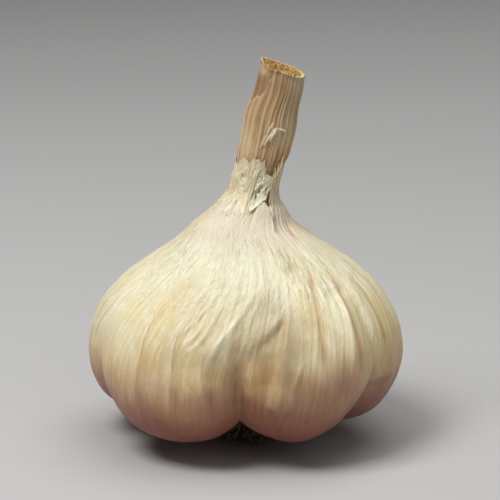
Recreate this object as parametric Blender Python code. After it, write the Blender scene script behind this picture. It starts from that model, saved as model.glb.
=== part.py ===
"""A garlic bulb as sold: dried, standing on its trimmed roots, with its stalk cut off above the neck.

Metres, +Z up, front towards -Y. The origin is the centre of the flat spot that the trimmed roots stand on.
Angles round the bulb are in degrees: 0 is the front, and they grow towards +X.
"""

import math
import random

import bpy
import numpy as np
from mathutils import Vector

MM = 0.001

# Outline over the crests of the cloves, as (radius, height) in mm, from the root hollow to the neck.
CREST_OUTLINE = (
    (7.9, 8.3),
    (11.2, 5.8),
    (16.4, 4.0),
    (22.2, 4.4),
    (27.6, 7.5),
    (30.7, 13.0),
    (31.5, 19.2),
    (29.9, 25.8),
    (26.2, 31.2),
    (21.2, 35.5),
    (16.4, 39.0),
    (12.4, 42.0),
    (9.3, 44.8),
    (7.3, 47.4),
    (6.0, 50.8),
    (5.7, 57.0),
)
# The middle line that the bulb's rings follow, as (x, y, height) in mm.
BULB_LINE = (
    (0.0, 0.0, 10.0),
    (0.4, 0.0, 20.0),
    (0.1, 0.0, 29.0),
    (0.5, 0.0, 37.0),
    (0.3, 0.0, 41.0),
    (-0.3, 0.0, 44.0),
    (0.6, 0.0, 46.8),
    (1.5, 0.1, 50.0),
    (3.2, 0.3, 57.0),
)
BODY_ROWS = 24  # rings of points from the root hollow up to the torn collar
COLLAR_ROWS = 4

# The cloves, each from its seam to the next one's: (angle of the seam, share of the full depth, swell in mm).
CLOVES = (
    (-73.0, 0.7, 1.9),
    (-1.5, 0.7, 0.3),
    (54.0, 0.8, -0.9),
    (112.0, 0.95, -0.2),
    (165.0, 0.85, 0.4),
    (222.0, 1.0, 1.8),
)
SEAM_DEPTH = 6.6 * MM
SEAM_TOP = 46.0 * MM  # height at which the seams have faded out
SEAM_RADII = (7.9 * MM, 15.0 * MM)  # the seams deepen from nothing to their full depth between these
SEAM_SHARPNESS = (2.0, 4.6)  # round lobes low down, narrow creases on the shoulder
SHARPNESS_HEIGHTS = (6.0 * MM, 34.0 * MM)

# The papery skin hangs from the neck over the front seam as a tent, and folds inwards below its edge.
TENT_ANGLE = 7.0
TENT_HALF_WIDTH = 17.0
TENT_DEPTH = 0.9 * MM
TENT_EDGE = 26.5 * MM
TENT_EDGE_RISE = 0.12 * MM  # for each degree towards +X
TENT_FOLD = 5.0 * MM  # height over which the skin turns in below the edge
TENT_FOOT_HEIGHTS = (3.2 * MM, 16.0 * MM)  # the hollow deepens towards the roots between these
TENT_FOOT_DEPTH = 2.4 * MM

PLEATS = 54
PLEAT_WAVE = (0.0, 1.0, 0.4)  # share of the depth at the points across one pleat
PLEAT_DEPTH = 0.5 * MM
PLEAT_FOOT = (4.0 * MM, 14.0 * MM)  # the pleats start between these heights
PLEAT_NECK_LOSS = 0.4  # share of their depth that they lose by the neck, where they crowd together
PLEAT_NECK = 34.0 * MM
PLEAT_SEED = 7

# The outer skin is torn beside the neck: a V that narrows downwards and shows the layer beneath.
TEAR_ANGLE = 56.0
TEAR_HALF_WIDTH = 27.0
TEAR_FOOT = 39.5 * MM
TEAR_DEPTH = 0.45 * MM
TEAR_EDGE = 3.0  # degrees over which the skin's edge falls to the layer beneath
TEAR_LIP = 1.5 * MM  # the same at the foot of the tear

# The torn collar round the stalk: its tips as (angle, height in mm, half width in degrees).
COLLAR_TIPS = (
    (-100.0, 53.4, 26.0),
    (-60.0, 55.2, 20.0),
    (-30.0, 52.8, 12.0),
    (4.0, 54.4, 15.0),
    (24.0, 51.6, 9.0),
    (98.0, 52.0, 20.0),
    (136.0, 54.6, 24.0),
    (178.0, 53.0, 22.0),
    (216.0, 55.2, 24.0),
)
COLLAR_FOOT = 46.0 * MM
COLLAR_NOTCH = 48.8 * MM  # the lowest point between two tips
TIP_CURVE = 0.8  # below 1 the tips bulge, above 1 they are hollow

# The stalk's middle line as (x, y, height) in mm, and its radius at the same heights.
STALK_LINE = (
    (0.6, 0.0, 43.0),
    (1.4, 0.1, 49.5),
    (3.2, 0.3, 56.5),
    (4.4, 0.6, 62.0),
    (5.2, 0.8, 66.2),
    (6.6, 1.1, 70.4),
    (7.3, 1.3, 75.0),
    (7.8, 1.5, 79.0),
)
STALK_RADII = (4.4, 4.45, 5.15, 5.35, 5.3, 4.9, 4.6, 4.6)
STALK_FOOT = 46.0 * MM
STALK_CUT_HEIGHT = 75.2 * MM  # where the cut crosses the middle line
STALK_CUT_TILT = 23.0  # degrees from level, down towards +X
STALK_ROWS = 12
FLUTES = 20
FLUTE_WAVE = (0.0, 1.0, 0.4)  # share of the depth at the points across one flute
FLUTE_DEPTH = 0.42 * MM
FLUTE_RUN = 8.0 * MM  # the flutes reach their full depth this far above the collar
FLUTE_START = 0.25  # share of the depth inside the collar
STALK_OVAL = 0.94  # depth front to back over the width

# The cut end: the outer sheath stands as a rim round the pith, whose rolled leaves show as rings.
RIM_WIDTH = 0.75 * MM
PITH_STEPS = 6  # rings of points across the pith, low and high in turn
PITH_SINK = 1.1 * MM
PITH_RIDGE = 0.35 * MM

GAP = 0.32 * MM  # between pieces that touch on the real bulb

# The root plate and its trimmed roots.
PLATE_OUTLINE = ((6.9, 7.9), (7.5, 6.8), (6.8, 5.0), (5.6, 2.4), (5.4, -1.0))  # (radius, height) in mm
PLATE_COLUMNS = 28
ROOT_SEED = 31
ROOT_RADIUS = 0.58 * MM
ROOT_SIDES = 5
ROOT_SINK = 1.6  # mm from the plate's surface in to where each root starts
ROOT_BEND = 0.8  # mm sideways at most
# Rows of roots: (count, radius and height where they leave the plate, radius and height at the tip), in mm.
ROOT_ROWS = (
    (22, 6.8, 5.6, 10.8, 2.2),
    (20, 6.0, 3.9, 9.8, 0.3),
    (18, 5.4, 2.4, 8.0, -0.8),
)
TRIM_SLAB = ((20.0, -6.0), (20.0, 0.0))  # (radius, height) in mm of the block that trims them level


def clear_scene():
    """Removes every object that the file starts with."""
    for obj in list(bpy.data.objects):
        bpy.data.objects.remove(obj)


def ease(value, low, high):
    """0 at low, 1 at high, with a smooth run between them."""
    share = np.clip((value - low) / (high - low), 0.0, 1.0)
    return share * share * (3.0 - 2.0 * share)


def turned_within(angle, centre):
    """How far an angle lies from a centre, in degrees, from -180 to 180."""
    return (angle - centre + 180.0) % 360.0 - 180.0


def smooth_line(points, count, steps=24):
    """Evenly spaced points on a Catmull-Rom curve through the given ones."""
    knots = np.array(points, float)
    ends = np.vstack([2 * knots[0] - knots[1], knots, 2 * knots[-1] - knots[-2]])
    share = np.linspace(0.0, 1.0, steps, endpoint=False)[:, None]
    spans = [
        0.5 * (2 * b + (c - a) * share + (2 * a - 5 * b + 4 * c - d) * share**2
               + (3 * b - a - 3 * c + d) * share**3)
        for a, b, c, d in zip(ends, ends[1:], ends[2:], ends[3:])
    ]
    line = np.vstack([*spans, knots[-1]])
    run = np.concatenate([[0.0], np.cumsum(np.linalg.norm(np.diff(line, axis=0), axis=1))])
    wanted = np.linspace(0.0, run[-1], count)
    return np.column_stack([np.interp(wanted, run, column) for column in line.T])


def middle_at(knots, height):
    """(x, y) in metres at these heights on a middle line given in mm."""
    line = smooth_line(knots, 80) * MM
    return np.interp(height, line[:, 2], line[:, 0]), np.interp(height, line[:, 2], line[:, 1])


def clove_shape(angle, radius, height):
    """How deep the skin sinks between two cloves, and how far each clove swells outwards."""
    places, shares, swells = np.array(CLOVES).T
    turned = (angle - places[0]) % 360.0 + places[0]
    after = np.searchsorted(places, turned, side="right")
    low = places[after - 1]
    high = np.append(places, places[0] + 360.0)[after]
    across = (turned - low) / (high - low)
    nearest = np.where(across < 0.5, shares[after - 1], np.append(shares, shares[0])[after])
    sharpness = np.interp(ease(height, *SHARPNESS_HEIGHTS), (0.0, 1.0), SEAM_SHARPNESS)
    groove = np.abs(2.0 * across - 1.0) ** sharpness
    share = np.clip(1.0 - height / SEAM_TOP, 0.0, 1.0) ** 2 * ease(radius, *SEAM_RADII)
    return SEAM_DEPTH * nearest * groove * share, swells[after - 1] * MM * (1.0 - groove) * share


def tent_depth(angle, radius, height):
    """How far the skin folds in below the tent over the front seam."""
    across = np.exp(-((turned_within(angle, TENT_ANGLE) / TENT_HALF_WIDTH) ** 4))
    edge = TENT_EDGE + TENT_EDGE_RISE * turned_within(angle, TENT_ANGLE)
    below = 1.0 - ease(height, edge - TENT_FOLD, edge)
    deep = np.interp(ease(height, *TENT_FOOT_HEIGHTS), (0.0, 1.0), (TENT_FOOT_DEPTH, TENT_DEPTH))
    return deep * across * below * ease(radius, *SEAM_RADII)


def pleat_depth(height, strengths):
    """The fine pleats of the skin, deepest round the belly and gone under the bulb."""
    neck = 1.0 - PLEAT_NECK_LOSS * ease(height, PLEAT_NECK, COLLAR_FOOT)
    return PLEAT_DEPTH * strengths * ease(height, *PLEAT_FOOT) * neck


def tear_depth(angle, height):
    """The step down from the outer skin to the layer that shows through the tear beside the neck."""
    open_share = ease(height, TEAR_FOOT, COLLAR_NOTCH)
    half_width = TEAR_HALF_WIDTH * open_share
    inside = 1.0 - ease(np.abs(turned_within(angle, TEAR_ANGLE)), half_width, half_width + TEAR_EDGE)
    return TEAR_DEPTH * inside * ease(height, TEAR_FOOT, TEAR_FOOT + TEAR_LIP)


def collar_height(angle):
    """The ragged upper edge of the outer skin round the stalk."""
    height = np.full_like(angle, COLLAR_NOTCH)
    for centre, top, half_width in COLLAR_TIPS:
        share = np.clip(1.0 - np.abs(turned_within(angle, centre)) / half_width, 0.0, 1.0)
        height = np.maximum(height, COLLAR_NOTCH + (top * MM - COLLAR_NOTCH) * share**TIP_CURVE)
    return height


def skin_ring(angle, radius, height, normal, strengths):
    """One ring of points on the skin; radius, height and normal describe the crest outline there."""
    seam, swell = clove_shape(angle, radius, height)
    depth = (
        seam
        + tent_depth(angle, radius, height)
        + pleat_depth(height, strengths)
        + tear_depth(angle, height)
    )
    return round_points(BULB_LINE, angle, radius + swell - depth * normal[0], height - depth * normal[1])


def round_points(knots, angle, radius, height):
    """Points at these radii and heights round a middle line."""
    x, y = middle_at(knots, height)
    turn = np.radians(angle)
    return np.column_stack([x + radius * np.sin(turn), y - radius * np.cos(turn), height])


def bulb_rings():
    """Rings of points from the root hollow, over the cloves and the collar, and down the stalk's socket."""
    chance = random.Random(PLEAT_SEED)
    strengths = np.outer([chance.uniform(0.3, 1.0) for _ in range(PLEATS)], PLEAT_WAVE).ravel()
    angle = np.linspace(0.0, 360.0, len(strengths), endpoint=False)
    outline = smooth_line(CREST_OUTLINE, 400) * MM
    slope = np.gradient(outline, axis=0)
    slope /= np.linalg.norm(slope, axis=1)[:, None]
    foot = np.argmax(outline[:, 1] > COLLAR_FOOT)
    rings = [
        skin_ring(angle, *outline[i], (slope[i, 1], -slope[i, 0]), strengths)
        for i in np.linspace(0, foot, BODY_ROWS).round().astype(int)
    ]
    top = collar_height(angle)
    for share in np.linspace(0.0, 1.0, COLLAR_ROWS + 1)[1:]:
        height = COLLAR_FOOT + (top - COLLAR_FOOT) * share
        radius = np.interp(height, outline[foot:, 1], outline[foot:, 0])
        rings.append(skin_ring(angle, radius, height, (1.0, 0.0), strengths))
    for height in (top, np.full_like(top, STALK_FOOT - GAP)):
        rings.append(round_points(STALK_LINE, angle, stalk_radius(height) + GAP, height))
    return rings


def stalk_radius(height):
    """The stalk's radius over its flutes at these heights."""
    line = smooth_line([(z, r) for (_, _, z), r in zip(STALK_LINE, STALK_RADII)], 80) * MM
    return np.interp(height, line[:, 0], line[:, 1])


def stalk_rings():
    """Rings of points up the fluted stalk, over its rim and down across the rolled leaves of the cut."""
    flute = np.tile(FLUTE_WAVE, FLUTES)
    turn = np.linspace(0.0, 2 * math.pi, len(flute), endpoint=False)
    flute *= 0.7 + 0.3 * np.sin(turn * 5.0 + 1.0)
    tilt = math.tan(math.radians(STALK_CUT_TILT))

    def ring(level, inset=0.0, sink=0.0):
        """A ring at a share of the way from the foot to the tilted cut, moved inwards and down."""
        middle = STALK_FOOT + (STALK_CUT_HEIGHT - STALK_FOOT) * level
        free = FLUTE_START + (1.0 - FLUTE_START) * ease(middle, COLLAR_NOTCH, COLLAR_NOTCH + FLUTE_RUN)
        radius = stalk_radius(middle) - FLUTE_DEPTH * flute * free - inset
        across = radius * np.sin(turn)
        height = middle - across * tilt * level - sink
        x, y = middle_at(STALK_LINE, height)
        return np.column_stack([x + across, y - radius * np.cos(turn) * STALK_OVAL, height])

    rings = [ring(level) for level in np.linspace(0.0, 1.0, STALK_ROWS)]
    rings.append(ring(1.0, RIM_WIDTH, 0.0))
    pith = stalk_radius(STALK_CUT_HEIGHT) - RIM_WIDTH - FLUTE_DEPTH
    for step in range(PITH_STEPS):
        inset = RIM_WIDTH + pith * (step + 0.35) / PITH_STEPS
        ridge = PITH_RIDGE if step % 2 else 0.0
        rings.append(ring(1.0, inset, PITH_SINK - ridge))
    return rings


def closed_mesh(name, rings):
    """A mesh over rings of points, bottom to top, closed by a fan at each end."""
    count = len(rings[0])
    points = [tuple(p) for r in rings for p in r]
    faces = []
    for row in range(len(rings) - 1):
        for column in range(count):
            a = row * count + column
            b = row * count + (column + 1) % count
            faces.append((a, b, b + count, a + count))
    for row, turn in ((0, -1), (len(rings) - 1, 1)):
        middle = len(points)
        points.append(tuple(np.mean(rings[row], axis=0)))
        for column in range(count):
            a = row * count + column
            b = row * count + (column + 1) % count
            faces.append((a, b, middle)[::turn])
    mesh = bpy.data.meshes.new(name)
    mesh.from_pydata(points, [], faces)
    mesh.validate()
    return mesh


def add_object(name, mesh, material):
    """Puts a mesh in the scene as a named, smooth-shaded object."""
    obj = bpy.data.objects.new(name, mesh)
    bpy.context.scene.collection.objects.link(obj)
    mesh.materials.append(material)
    mesh.shade_smooth()
    return obj


def make_material(name, colour, roughness):
    """A plain Principled BSDF of one colour."""
    material = bpy.data.materials.new(name)
    material.use_nodes = True
    shader = material.node_tree.nodes["Principled BSDF"]
    shader.inputs["Base Color"].default_value = (*colour, 1.0)
    shader.inputs["Roughness"].default_value = roughness
    shader.inputs["Metallic"].default_value = 0.0
    return material


def turned_rings(outline, columns):
    """Rings of points for a shape turned about the Z axis, from (radius, height) pairs in mm."""
    turn = np.linspace(0.0, 2 * math.pi, columns, endpoint=False)
    return [
        np.column_stack([r * MM * np.sin(turn), -r * MM * np.cos(turn), np.full(columns, z * MM)])
        for r, z in outline
    ]


def root_mesh(name, start, tip, side, radius):
    """One root: a slim tapering tube that bends sideways between its start and its tip."""
    line = [start.lerp(tip, share) + side * math.sin(math.pi * share) for share in (0.0, 0.35, 0.7, 1.0)]
    along = (tip - start).normalized()
    across = along.orthogonal().normalized()
    other = along.cross(across)
    rings = []
    for step, middle in enumerate(line):
        size = radius * (1.0 - 0.1 * step)
        turns = [2 * math.pi * i / ROOT_SIDES for i in range(ROOT_SIDES)]
        rings.append([middle + (across * math.cos(t) + other * math.sin(t)) * size for t in turns])
    return closed_mesh(name, [np.array(ring) for ring in rings])


def strand_meshes():
    """The roots before they are joined to the plate, in rows that start lower and reach less far out."""
    chance = random.Random(ROOT_SEED)
    for row, (count, start_radius, start_height, tip_radius, tip_height) in enumerate(ROOT_ROWS):
        for i in range(count):
            turn = 2 * math.pi * (i + 0.5 * (row % 2) + chance.uniform(-0.22, 0.22)) / count
            out = Vector((math.sin(turn), -math.cos(turn), 0.0))
            up = Vector((0.0, 0.0, 1.0))
            start = out * (start_radius - ROOT_SINK) + up * (start_height + 0.5)
            reach = tip_radius + chance.uniform(-0.9, 0.7)
            tip = out * reach + up * (tip_height + chance.uniform(-0.5, 0.6))
            side = out.cross(up) * chance.uniform(-ROOT_BEND, ROOT_BEND)
            radius = ROOT_RADIUS * chance.uniform(0.8, 1.15)
            yield root_mesh(f"strand_{row}_{i}", start * MM, tip * MM, side * MM, radius)


def make_roots(material):
    """The root plate with its roots joined to it, all trimmed level at the height that the bulb stands on."""
    core = closed_mesh("roots", turned_rings(reversed(PLATE_OUTLINE), PLATE_COLUMNS))
    plate = add_object("roots", core, material)
    strands = bpy.data.collections.new("strands")
    bpy.context.scene.collection.children.link(strands)
    for mesh in strand_meshes():
        strands.objects.link(bpy.data.objects.new(mesh.name, mesh))
    apply_boolean(plate, "UNION", strands)
    remove_collection(strands)
    trim = bpy.data.collections.new("trim")
    bpy.context.scene.collection.children.link(trim)
    trim.objects.link(bpy.data.objects.new("slab", closed_mesh("slab", turned_rings(TRIM_SLAB, 4))))
    apply_boolean(plate, "DIFFERENCE", trim)
    remove_collection(trim)


def remove_collection(collection):
    """Removes a collection of helper objects."""
    for obj in list(collection.objects):
        bpy.data.objects.remove(obj)
    bpy.data.collections.remove(collection)


def apply_boolean(obj, operation, collection):
    """Joins a collection's objects to an object, or cuts them from it, and applies the result."""
    modifier = obj.modifiers.new(operation.lower(), "BOOLEAN")
    modifier.operation = operation
    modifier.solver = "EXACT"
    modifier.operand_type = "COLLECTION"
    modifier.collection = collection
    bpy.context.view_layer.update()
    graph = bpy.context.evaluated_depsgraph_get()
    result = bpy.data.meshes.new_from_object(obj.evaluated_get(graph))
    obj.modifiers.clear()
    obj.data = result


def main():
    """Builds the bulb, its stalk and its roots."""
    clear_scene()
    skin = make_material("papery_skin", (0.80, 0.74, 0.56), 0.55)
    straw = make_material("dry_stalk", (0.50, 0.36, 0.21), 0.70)
    brown = make_material("dry_roots", (0.20, 0.13, 0.07), 0.85)
    add_object("bulb", closed_mesh("bulb", bulb_rings()), skin)
    add_object("stalk", closed_mesh("stalk", stalk_rings()), straw)
    make_roots(brown)


main()
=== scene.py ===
"""Dresses the garlic bulb in its papery skins, its dry fluted stalk and its wiry roots.

Sizes are in mm and angles in degrees until a mesh is made. Angles go round the bulb: 0 is the front, towards
-Y, and they grow towards +X. Heights are above the surface that the bulb stands on.
"""

import logging
import math
import random
from dataclasses import dataclass, field
from enum import Enum
from typing import Sequence

import bpy
import numpy as np
from bpy.types import Material, Mesh, Object
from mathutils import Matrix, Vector


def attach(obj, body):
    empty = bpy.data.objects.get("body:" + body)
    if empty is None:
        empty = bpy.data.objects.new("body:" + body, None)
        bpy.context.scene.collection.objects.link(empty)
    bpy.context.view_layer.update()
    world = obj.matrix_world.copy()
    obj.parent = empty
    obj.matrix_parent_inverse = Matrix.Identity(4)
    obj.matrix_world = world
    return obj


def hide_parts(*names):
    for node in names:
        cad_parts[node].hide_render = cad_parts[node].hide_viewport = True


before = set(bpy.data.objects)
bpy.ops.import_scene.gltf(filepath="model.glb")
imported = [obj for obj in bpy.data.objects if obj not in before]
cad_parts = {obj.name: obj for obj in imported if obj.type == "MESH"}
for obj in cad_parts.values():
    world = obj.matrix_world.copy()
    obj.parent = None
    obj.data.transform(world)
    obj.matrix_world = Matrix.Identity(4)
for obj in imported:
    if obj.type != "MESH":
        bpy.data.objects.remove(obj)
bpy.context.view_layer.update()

MM = 0.001
TAU = 2.0 * math.pi
GOLDEN_ANGLE = 2.39996
LINE_POINTS = 160
BODY = "root"

log = logging.getLogger("garlic_bulb")

Array = np.ndarray
Values = Array | float
Pair = tuple[float, float]
Triple = tuple[float, float, float]
Pairs = Sequence[Pair]
Triples = Sequence[Triple]
Socket = bpy.types.NodeSocket


# ---- curves and noise


def ease(value: Values, low: Values, high: Values) -> Array:
    """A smooth run from 0 to 1.

    Args:
        value: What is measured.
        low: Where the run starts.
        high: Where it ends; it may lie below the start.

    Returns:
        0 at low, 1 at high and an S between them.
    """
    share = np.clip((value - low) / (high - low), 0.0, 1.0)
    return share * share * (3.0 - 2.0 * share)


def turned(angle: Values, centre: Values) -> Array:
    """How far an angle lies from a centre, from -180 to 180 degrees."""
    return (angle - centre + 180.0) % 360.0 - 180.0


def bell(value: Values, width: float, power: int = 2) -> Array:
    """1 where the value is 0, falling off to both sides over a width."""
    return np.exp(-((value / width) ** power))


def wrapped(x: Values, y: Values, radius: Values, turn: Values, height: Values) -> Array:
    """Points at this radius and turn, in radians, round a middle x and y."""
    places = np.broadcast_arrays(x + radius * np.sin(turn), y - radius * np.cos(turn), height)
    return np.stack(places, axis=-1)


def smooth_line(points: Sequence[Sequence[float]], count: int, steps: int = 24) -> Array:
    """Draws a Catmull-Rom curve.

    Args:
        points: What the curve passes through.
        count: How many points to return.
        steps: How many points each span is worked out at.

    Returns:
        Evenly spaced points on the curve.
    """
    knots = np.array(points, float)
    ends = np.vstack([2 * knots[0] - knots[1], knots, 2 * knots[-1] - knots[-2]])
    share = np.linspace(0.0, 1.0, steps, endpoint=False)[:, None]
    spans = [
        0.5 * (2 * b + (c - a) * share + (2 * a - 5 * b + 4 * c - d) * share**2
               + (3 * b - a - 3 * c + d) * share**3)
        for a, b, c, d in zip(ends, ends[1:], ends[2:], ends[3:])
    ]
    line = np.vstack([*spans, knots[-1]])
    run = np.concatenate([[0.0], np.cumsum(np.linalg.norm(np.diff(line, axis=0), axis=1))])
    wanted = np.linspace(0.0, run[-1], count)
    return np.column_stack([np.interp(wanted, run, column) for column in line.T])


@dataclass(frozen=True)
class MiddleLine:
    """The line that rings of points are centred on, as (x, y, height)."""

    knots: Triples

    def at(self, height: Array) -> tuple[Array, Array]:
        """Finds the middle at some heights.

        Args:
            height: Heights, of any shape.

        Returns:
            x and y there.
        """
        line = smooth_line(self.knots, LINE_POINTS)
        return np.interp(height, line[:, 2], line[:, 0]), np.interp(height, line[:, 2], line[:, 1])


@dataclass(frozen=True)
class Grain:
    """Seeded value noise that closes up round the bulb.

    The cells are so many round a full turn and so many mm long.
    """

    seed: int
    around: int
    length: float

    def at(self, turn: Array, run: Array) -> Array:
        """Reads the noise.

        Args:
            turn: Share of a full turn.
            run: Distance along the skin in mm.

        Returns:
            Values from -1 to 1.
        """
        rows = 256
        table = np.random.RandomState(self.seed).uniform(-1.0, 1.0, (self.around, rows))
        u = (turn % 1.0) * self.around
        v = (run / self.length) % rows
        i, j = np.floor(u).astype(int) % self.around, np.floor(v).astype(int) % rows
        s, t = ease(u - np.floor(u), 0.0, 1.0), ease(v - np.floor(v), 0.0, 1.0)
        ii, jj = (i + 1) % self.around, (j + 1) % rows
        low = table[i, j] * (1 - s) + table[ii, j] * s
        high = table[i, jj] * (1 - s) + table[ii, jj] * s
        return low * (1 - t) + high * t


def layered_grain(seed: int, around: int, length: float, turn: Array, run: Array) -> Array:
    """Three sizes of Grain, each half as large and half as strong as the one before.

    Args:
        seed: Seed of the largest.
        around: Cells round a full turn in the largest.
        length: Length of a cell in the largest, in mm.
        turn: Share of a full turn.
        run: Distance along the skin in mm.

    Returns:
        Values from about -1 to 1.
    """
    total = sum(0.5**k * Grain(seed + k, around * 2**k, length / 2**k).at(turn, run) for k in range(3))
    return total / 1.4


# ---- meshes and modifiers


def new_mesh(name: str, points: Array | Triples, faces: Sequence, edges: Sequence = ()) -> Mesh:
    """Makes a mesh.

    Args:
        name: Name of the mesh.
        points: Its points in mm.
        faces: The points of each face.
        edges: The points of each loose edge.

    Returns:
        The mesh, in metres.
    """
    mesh = bpy.data.meshes.new(name)
    mesh.from_pydata((np.reshape(points, (-1, 3)) * MM).tolist(), edges, faces)
    mesh.update()
    return mesh


def strand_mesh(name: str, strands: Sequence[Sequence[tuple[Triple, float, float]]]) -> Mesh:
    """Makes a mesh of loose edges, strand by strand.

    Args:
        name: Name of the mesh.
        strands: The points of each strand: place in mm, thickness, and how freely it may curl.

    Returns:
        The mesh, in metres, with the thickness and the freedom stored.
    """
    points = [point for strand in strands for point in strand]
    ends = set(np.cumsum([len(strand) for strand in strands]).tolist())
    edges = [(i - 1, i) for i in range(1, len(points)) if i not in ends]
    mesh = new_mesh(name, [place for place, _, _ in points], [], edges)
    store(mesh, "thickness", np.array([thick for _, thick, _ in points]))
    store(mesh, "freedom", np.array([free for _, _, free in points], float))
    return mesh


def ring_mesh(name: str, points: Array, close_low: bool = True, close_high: bool = True) -> Mesh:
    """Makes a mesh over rings of points.

    Args:
        name: Name of the mesh.
        points: Rings, points and coordinates in mm, with the rings from the foot to the top.
        close_low: Closes the first ring with a fan.
        close_high: Closes the last ring with a fan.

    Returns:
        The mesh, in metres, facing outwards.
    """
    rows, count, _ = points.shape
    first = np.arange((rows - 1) * count).reshape(rows - 1, count)
    beside = np.roll(first, -1, axis=1)
    faces = np.stack([first, beside, beside + count, first + count], axis=-1).reshape(-1, 4).tolist()
    place = [points.reshape(-1, 3)]
    for closed, row, step in ((close_low, 0, -1), (close_high, rows - 1, 1)):
        if closed:
            middle = rows * count + len(place) - 1
            place.append(points[row].mean(axis=0))
            ring = row * count + np.arange(count)
            faces += [(int(a), int(b), middle)[::step] for a, b in zip(ring, np.roll(ring, -1))]
    return new_mesh(name, np.vstack(place), faces)


def sheet_mesh(name: str, points: Array) -> Mesh:
    """Makes an open sheet over a grid of points.

    Args:
        name: Name of the mesh.
        points: Rows, columns and coordinates in mm.

    Returns:
        The mesh, in metres.
    """
    rows, count, _ = points.shape
    first = np.arange(rows * count).reshape(rows, count)[:-1, :-1]
    quads = np.stack([first, first + 1, first + count + 1, first + count], axis=-1).reshape(-1, 4)
    return new_mesh(name, points, quads.tolist())


def join_meshes(name: str, meshes: Sequence[Mesh]) -> Mesh:
    """Puts several meshes in one, with their float attributes.

    Args:
        name: Name of the result.
        meshes: What is joined; they are removed.

    Returns:
        The joined mesh.
    """
    place: list[tuple[float, ...]] = []
    faces: list[tuple[int, ...]] = []
    values: dict[str, list[float]] = {}
    for mesh in meshes:
        start = len(place)
        place += [tuple(v.co) for v in mesh.vertices]
        faces += [tuple(start + i for i in p.vertices) for p in mesh.polygons]
        for attribute in mesh.attributes:
            if attribute.data_type == "FLOAT" and attribute.domain == "POINT":
                values.setdefault(attribute.name, [0.0] * start).extend(d.value for d in attribute.data)
        bpy.data.meshes.remove(mesh)
    joined = bpy.data.meshes.new(name)
    joined.from_pydata(place, [], faces)
    for key, numbers in values.items():
        store(joined, key, np.array(numbers))
    joined.update()
    return joined


def store(mesh: Mesh, name: str, values: Array) -> None:
    """Stores a number, or a vector, for each point of a mesh.

    Args:
        mesh: The mesh; points past the end of the values get zero.
        name: Name of the attribute.
        values: One row for each point, in the mesh's order.
    """
    vector = values.ndim > 1 and values.shape[-1] == 3
    attribute = mesh.attributes.new(name, "FLOAT_VECTOR" if vector else "FLOAT", "POINT")
    width = 3 if vector else 1
    flat = np.zeros(len(mesh.vertices) * width, np.float32)
    numbers = values.reshape(-1)
    flat[: len(numbers)] = numbers
    attribute.data.foreach_set("vector" if vector else "value", flat)


def store_marks(mesh: Mesh, shape: tuple[int, ...], **marks: Values) -> None:
    """Stores marks, each held from 0 to 1, with the points of a grid of this shape."""
    for name, values in marks.items():
        store(mesh, name, np.clip(np.broadcast_to(values, shape), 0.0, 1.0))


def store_grain(mesh: Mesh, radius: float, turn: Array, run: Array) -> None:
    """Stores each point's place in the grain.

    Args:
        mesh: The mesh.
        radius: Radius of the circle that the way round is laid on, in mm.
        turn: Angle of each point, in radians.
        run: Its distance along the grain in mm.
    """
    store(mesh, "grain", wrapped(0.0, 0.0, radius, turn + 0.5 * math.pi, run))


def points_of(mesh: Mesh) -> Array:
    """The points of a mesh, in metres.

    Args:
        mesh: The mesh.

    Returns:
        One row of x, y and z for each point.
    """
    place = np.empty(len(mesh.vertices) * 3, np.float32)
    mesh.vertices.foreach_get("co", place)
    return place.reshape(-1, 3)


def add_piece(name: str, mesh: Mesh, material: Material) -> Object:
    """Puts a mesh in the scene as a smooth piece at the origin.

    Args:
        name: Name of the piece.
        mesh: Its mesh.
        material: Its finish.

    Returns:
        The new object.
    """
    piece = bpy.data.objects.new(name, mesh)
    bpy.context.scene.collection.objects.link(piece)
    if not mesh.materials:
        mesh.materials.append(material)
    mesh.shade_smooth()
    return piece


def bake_modifiers(piece: Object) -> None:
    """Replaces a piece's mesh with what its modifiers make of it, and removes them.

    Args:
        piece: The piece.
    """
    bpy.context.view_layer.update()
    graph = bpy.context.evaluated_depsgraph_get()
    made = piece.evaluated_get(graph)
    mesh = bpy.data.meshes.new_from_object(made, preserve_all_data_layers=True, depsgraph=graph)
    mesh.name = piece.name
    old = piece.data
    piece.modifiers.clear()
    piece.data = mesh
    bpy.data.meshes.remove(old)


def mount(piece: Object, slot: str, *nodes: str) -> None:
    """Ties a finished piece to the frame.

    Args:
        piece: The piece.
        slot: Not used.
        *nodes: The CAD nodes that it stands for.
    """
    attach(piece, BODY)
    if nodes:
        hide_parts(*nodes)
    log.info("%s: %d faces", piece.name, len(piece.data.polygons))


# ---- node groups


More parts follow.
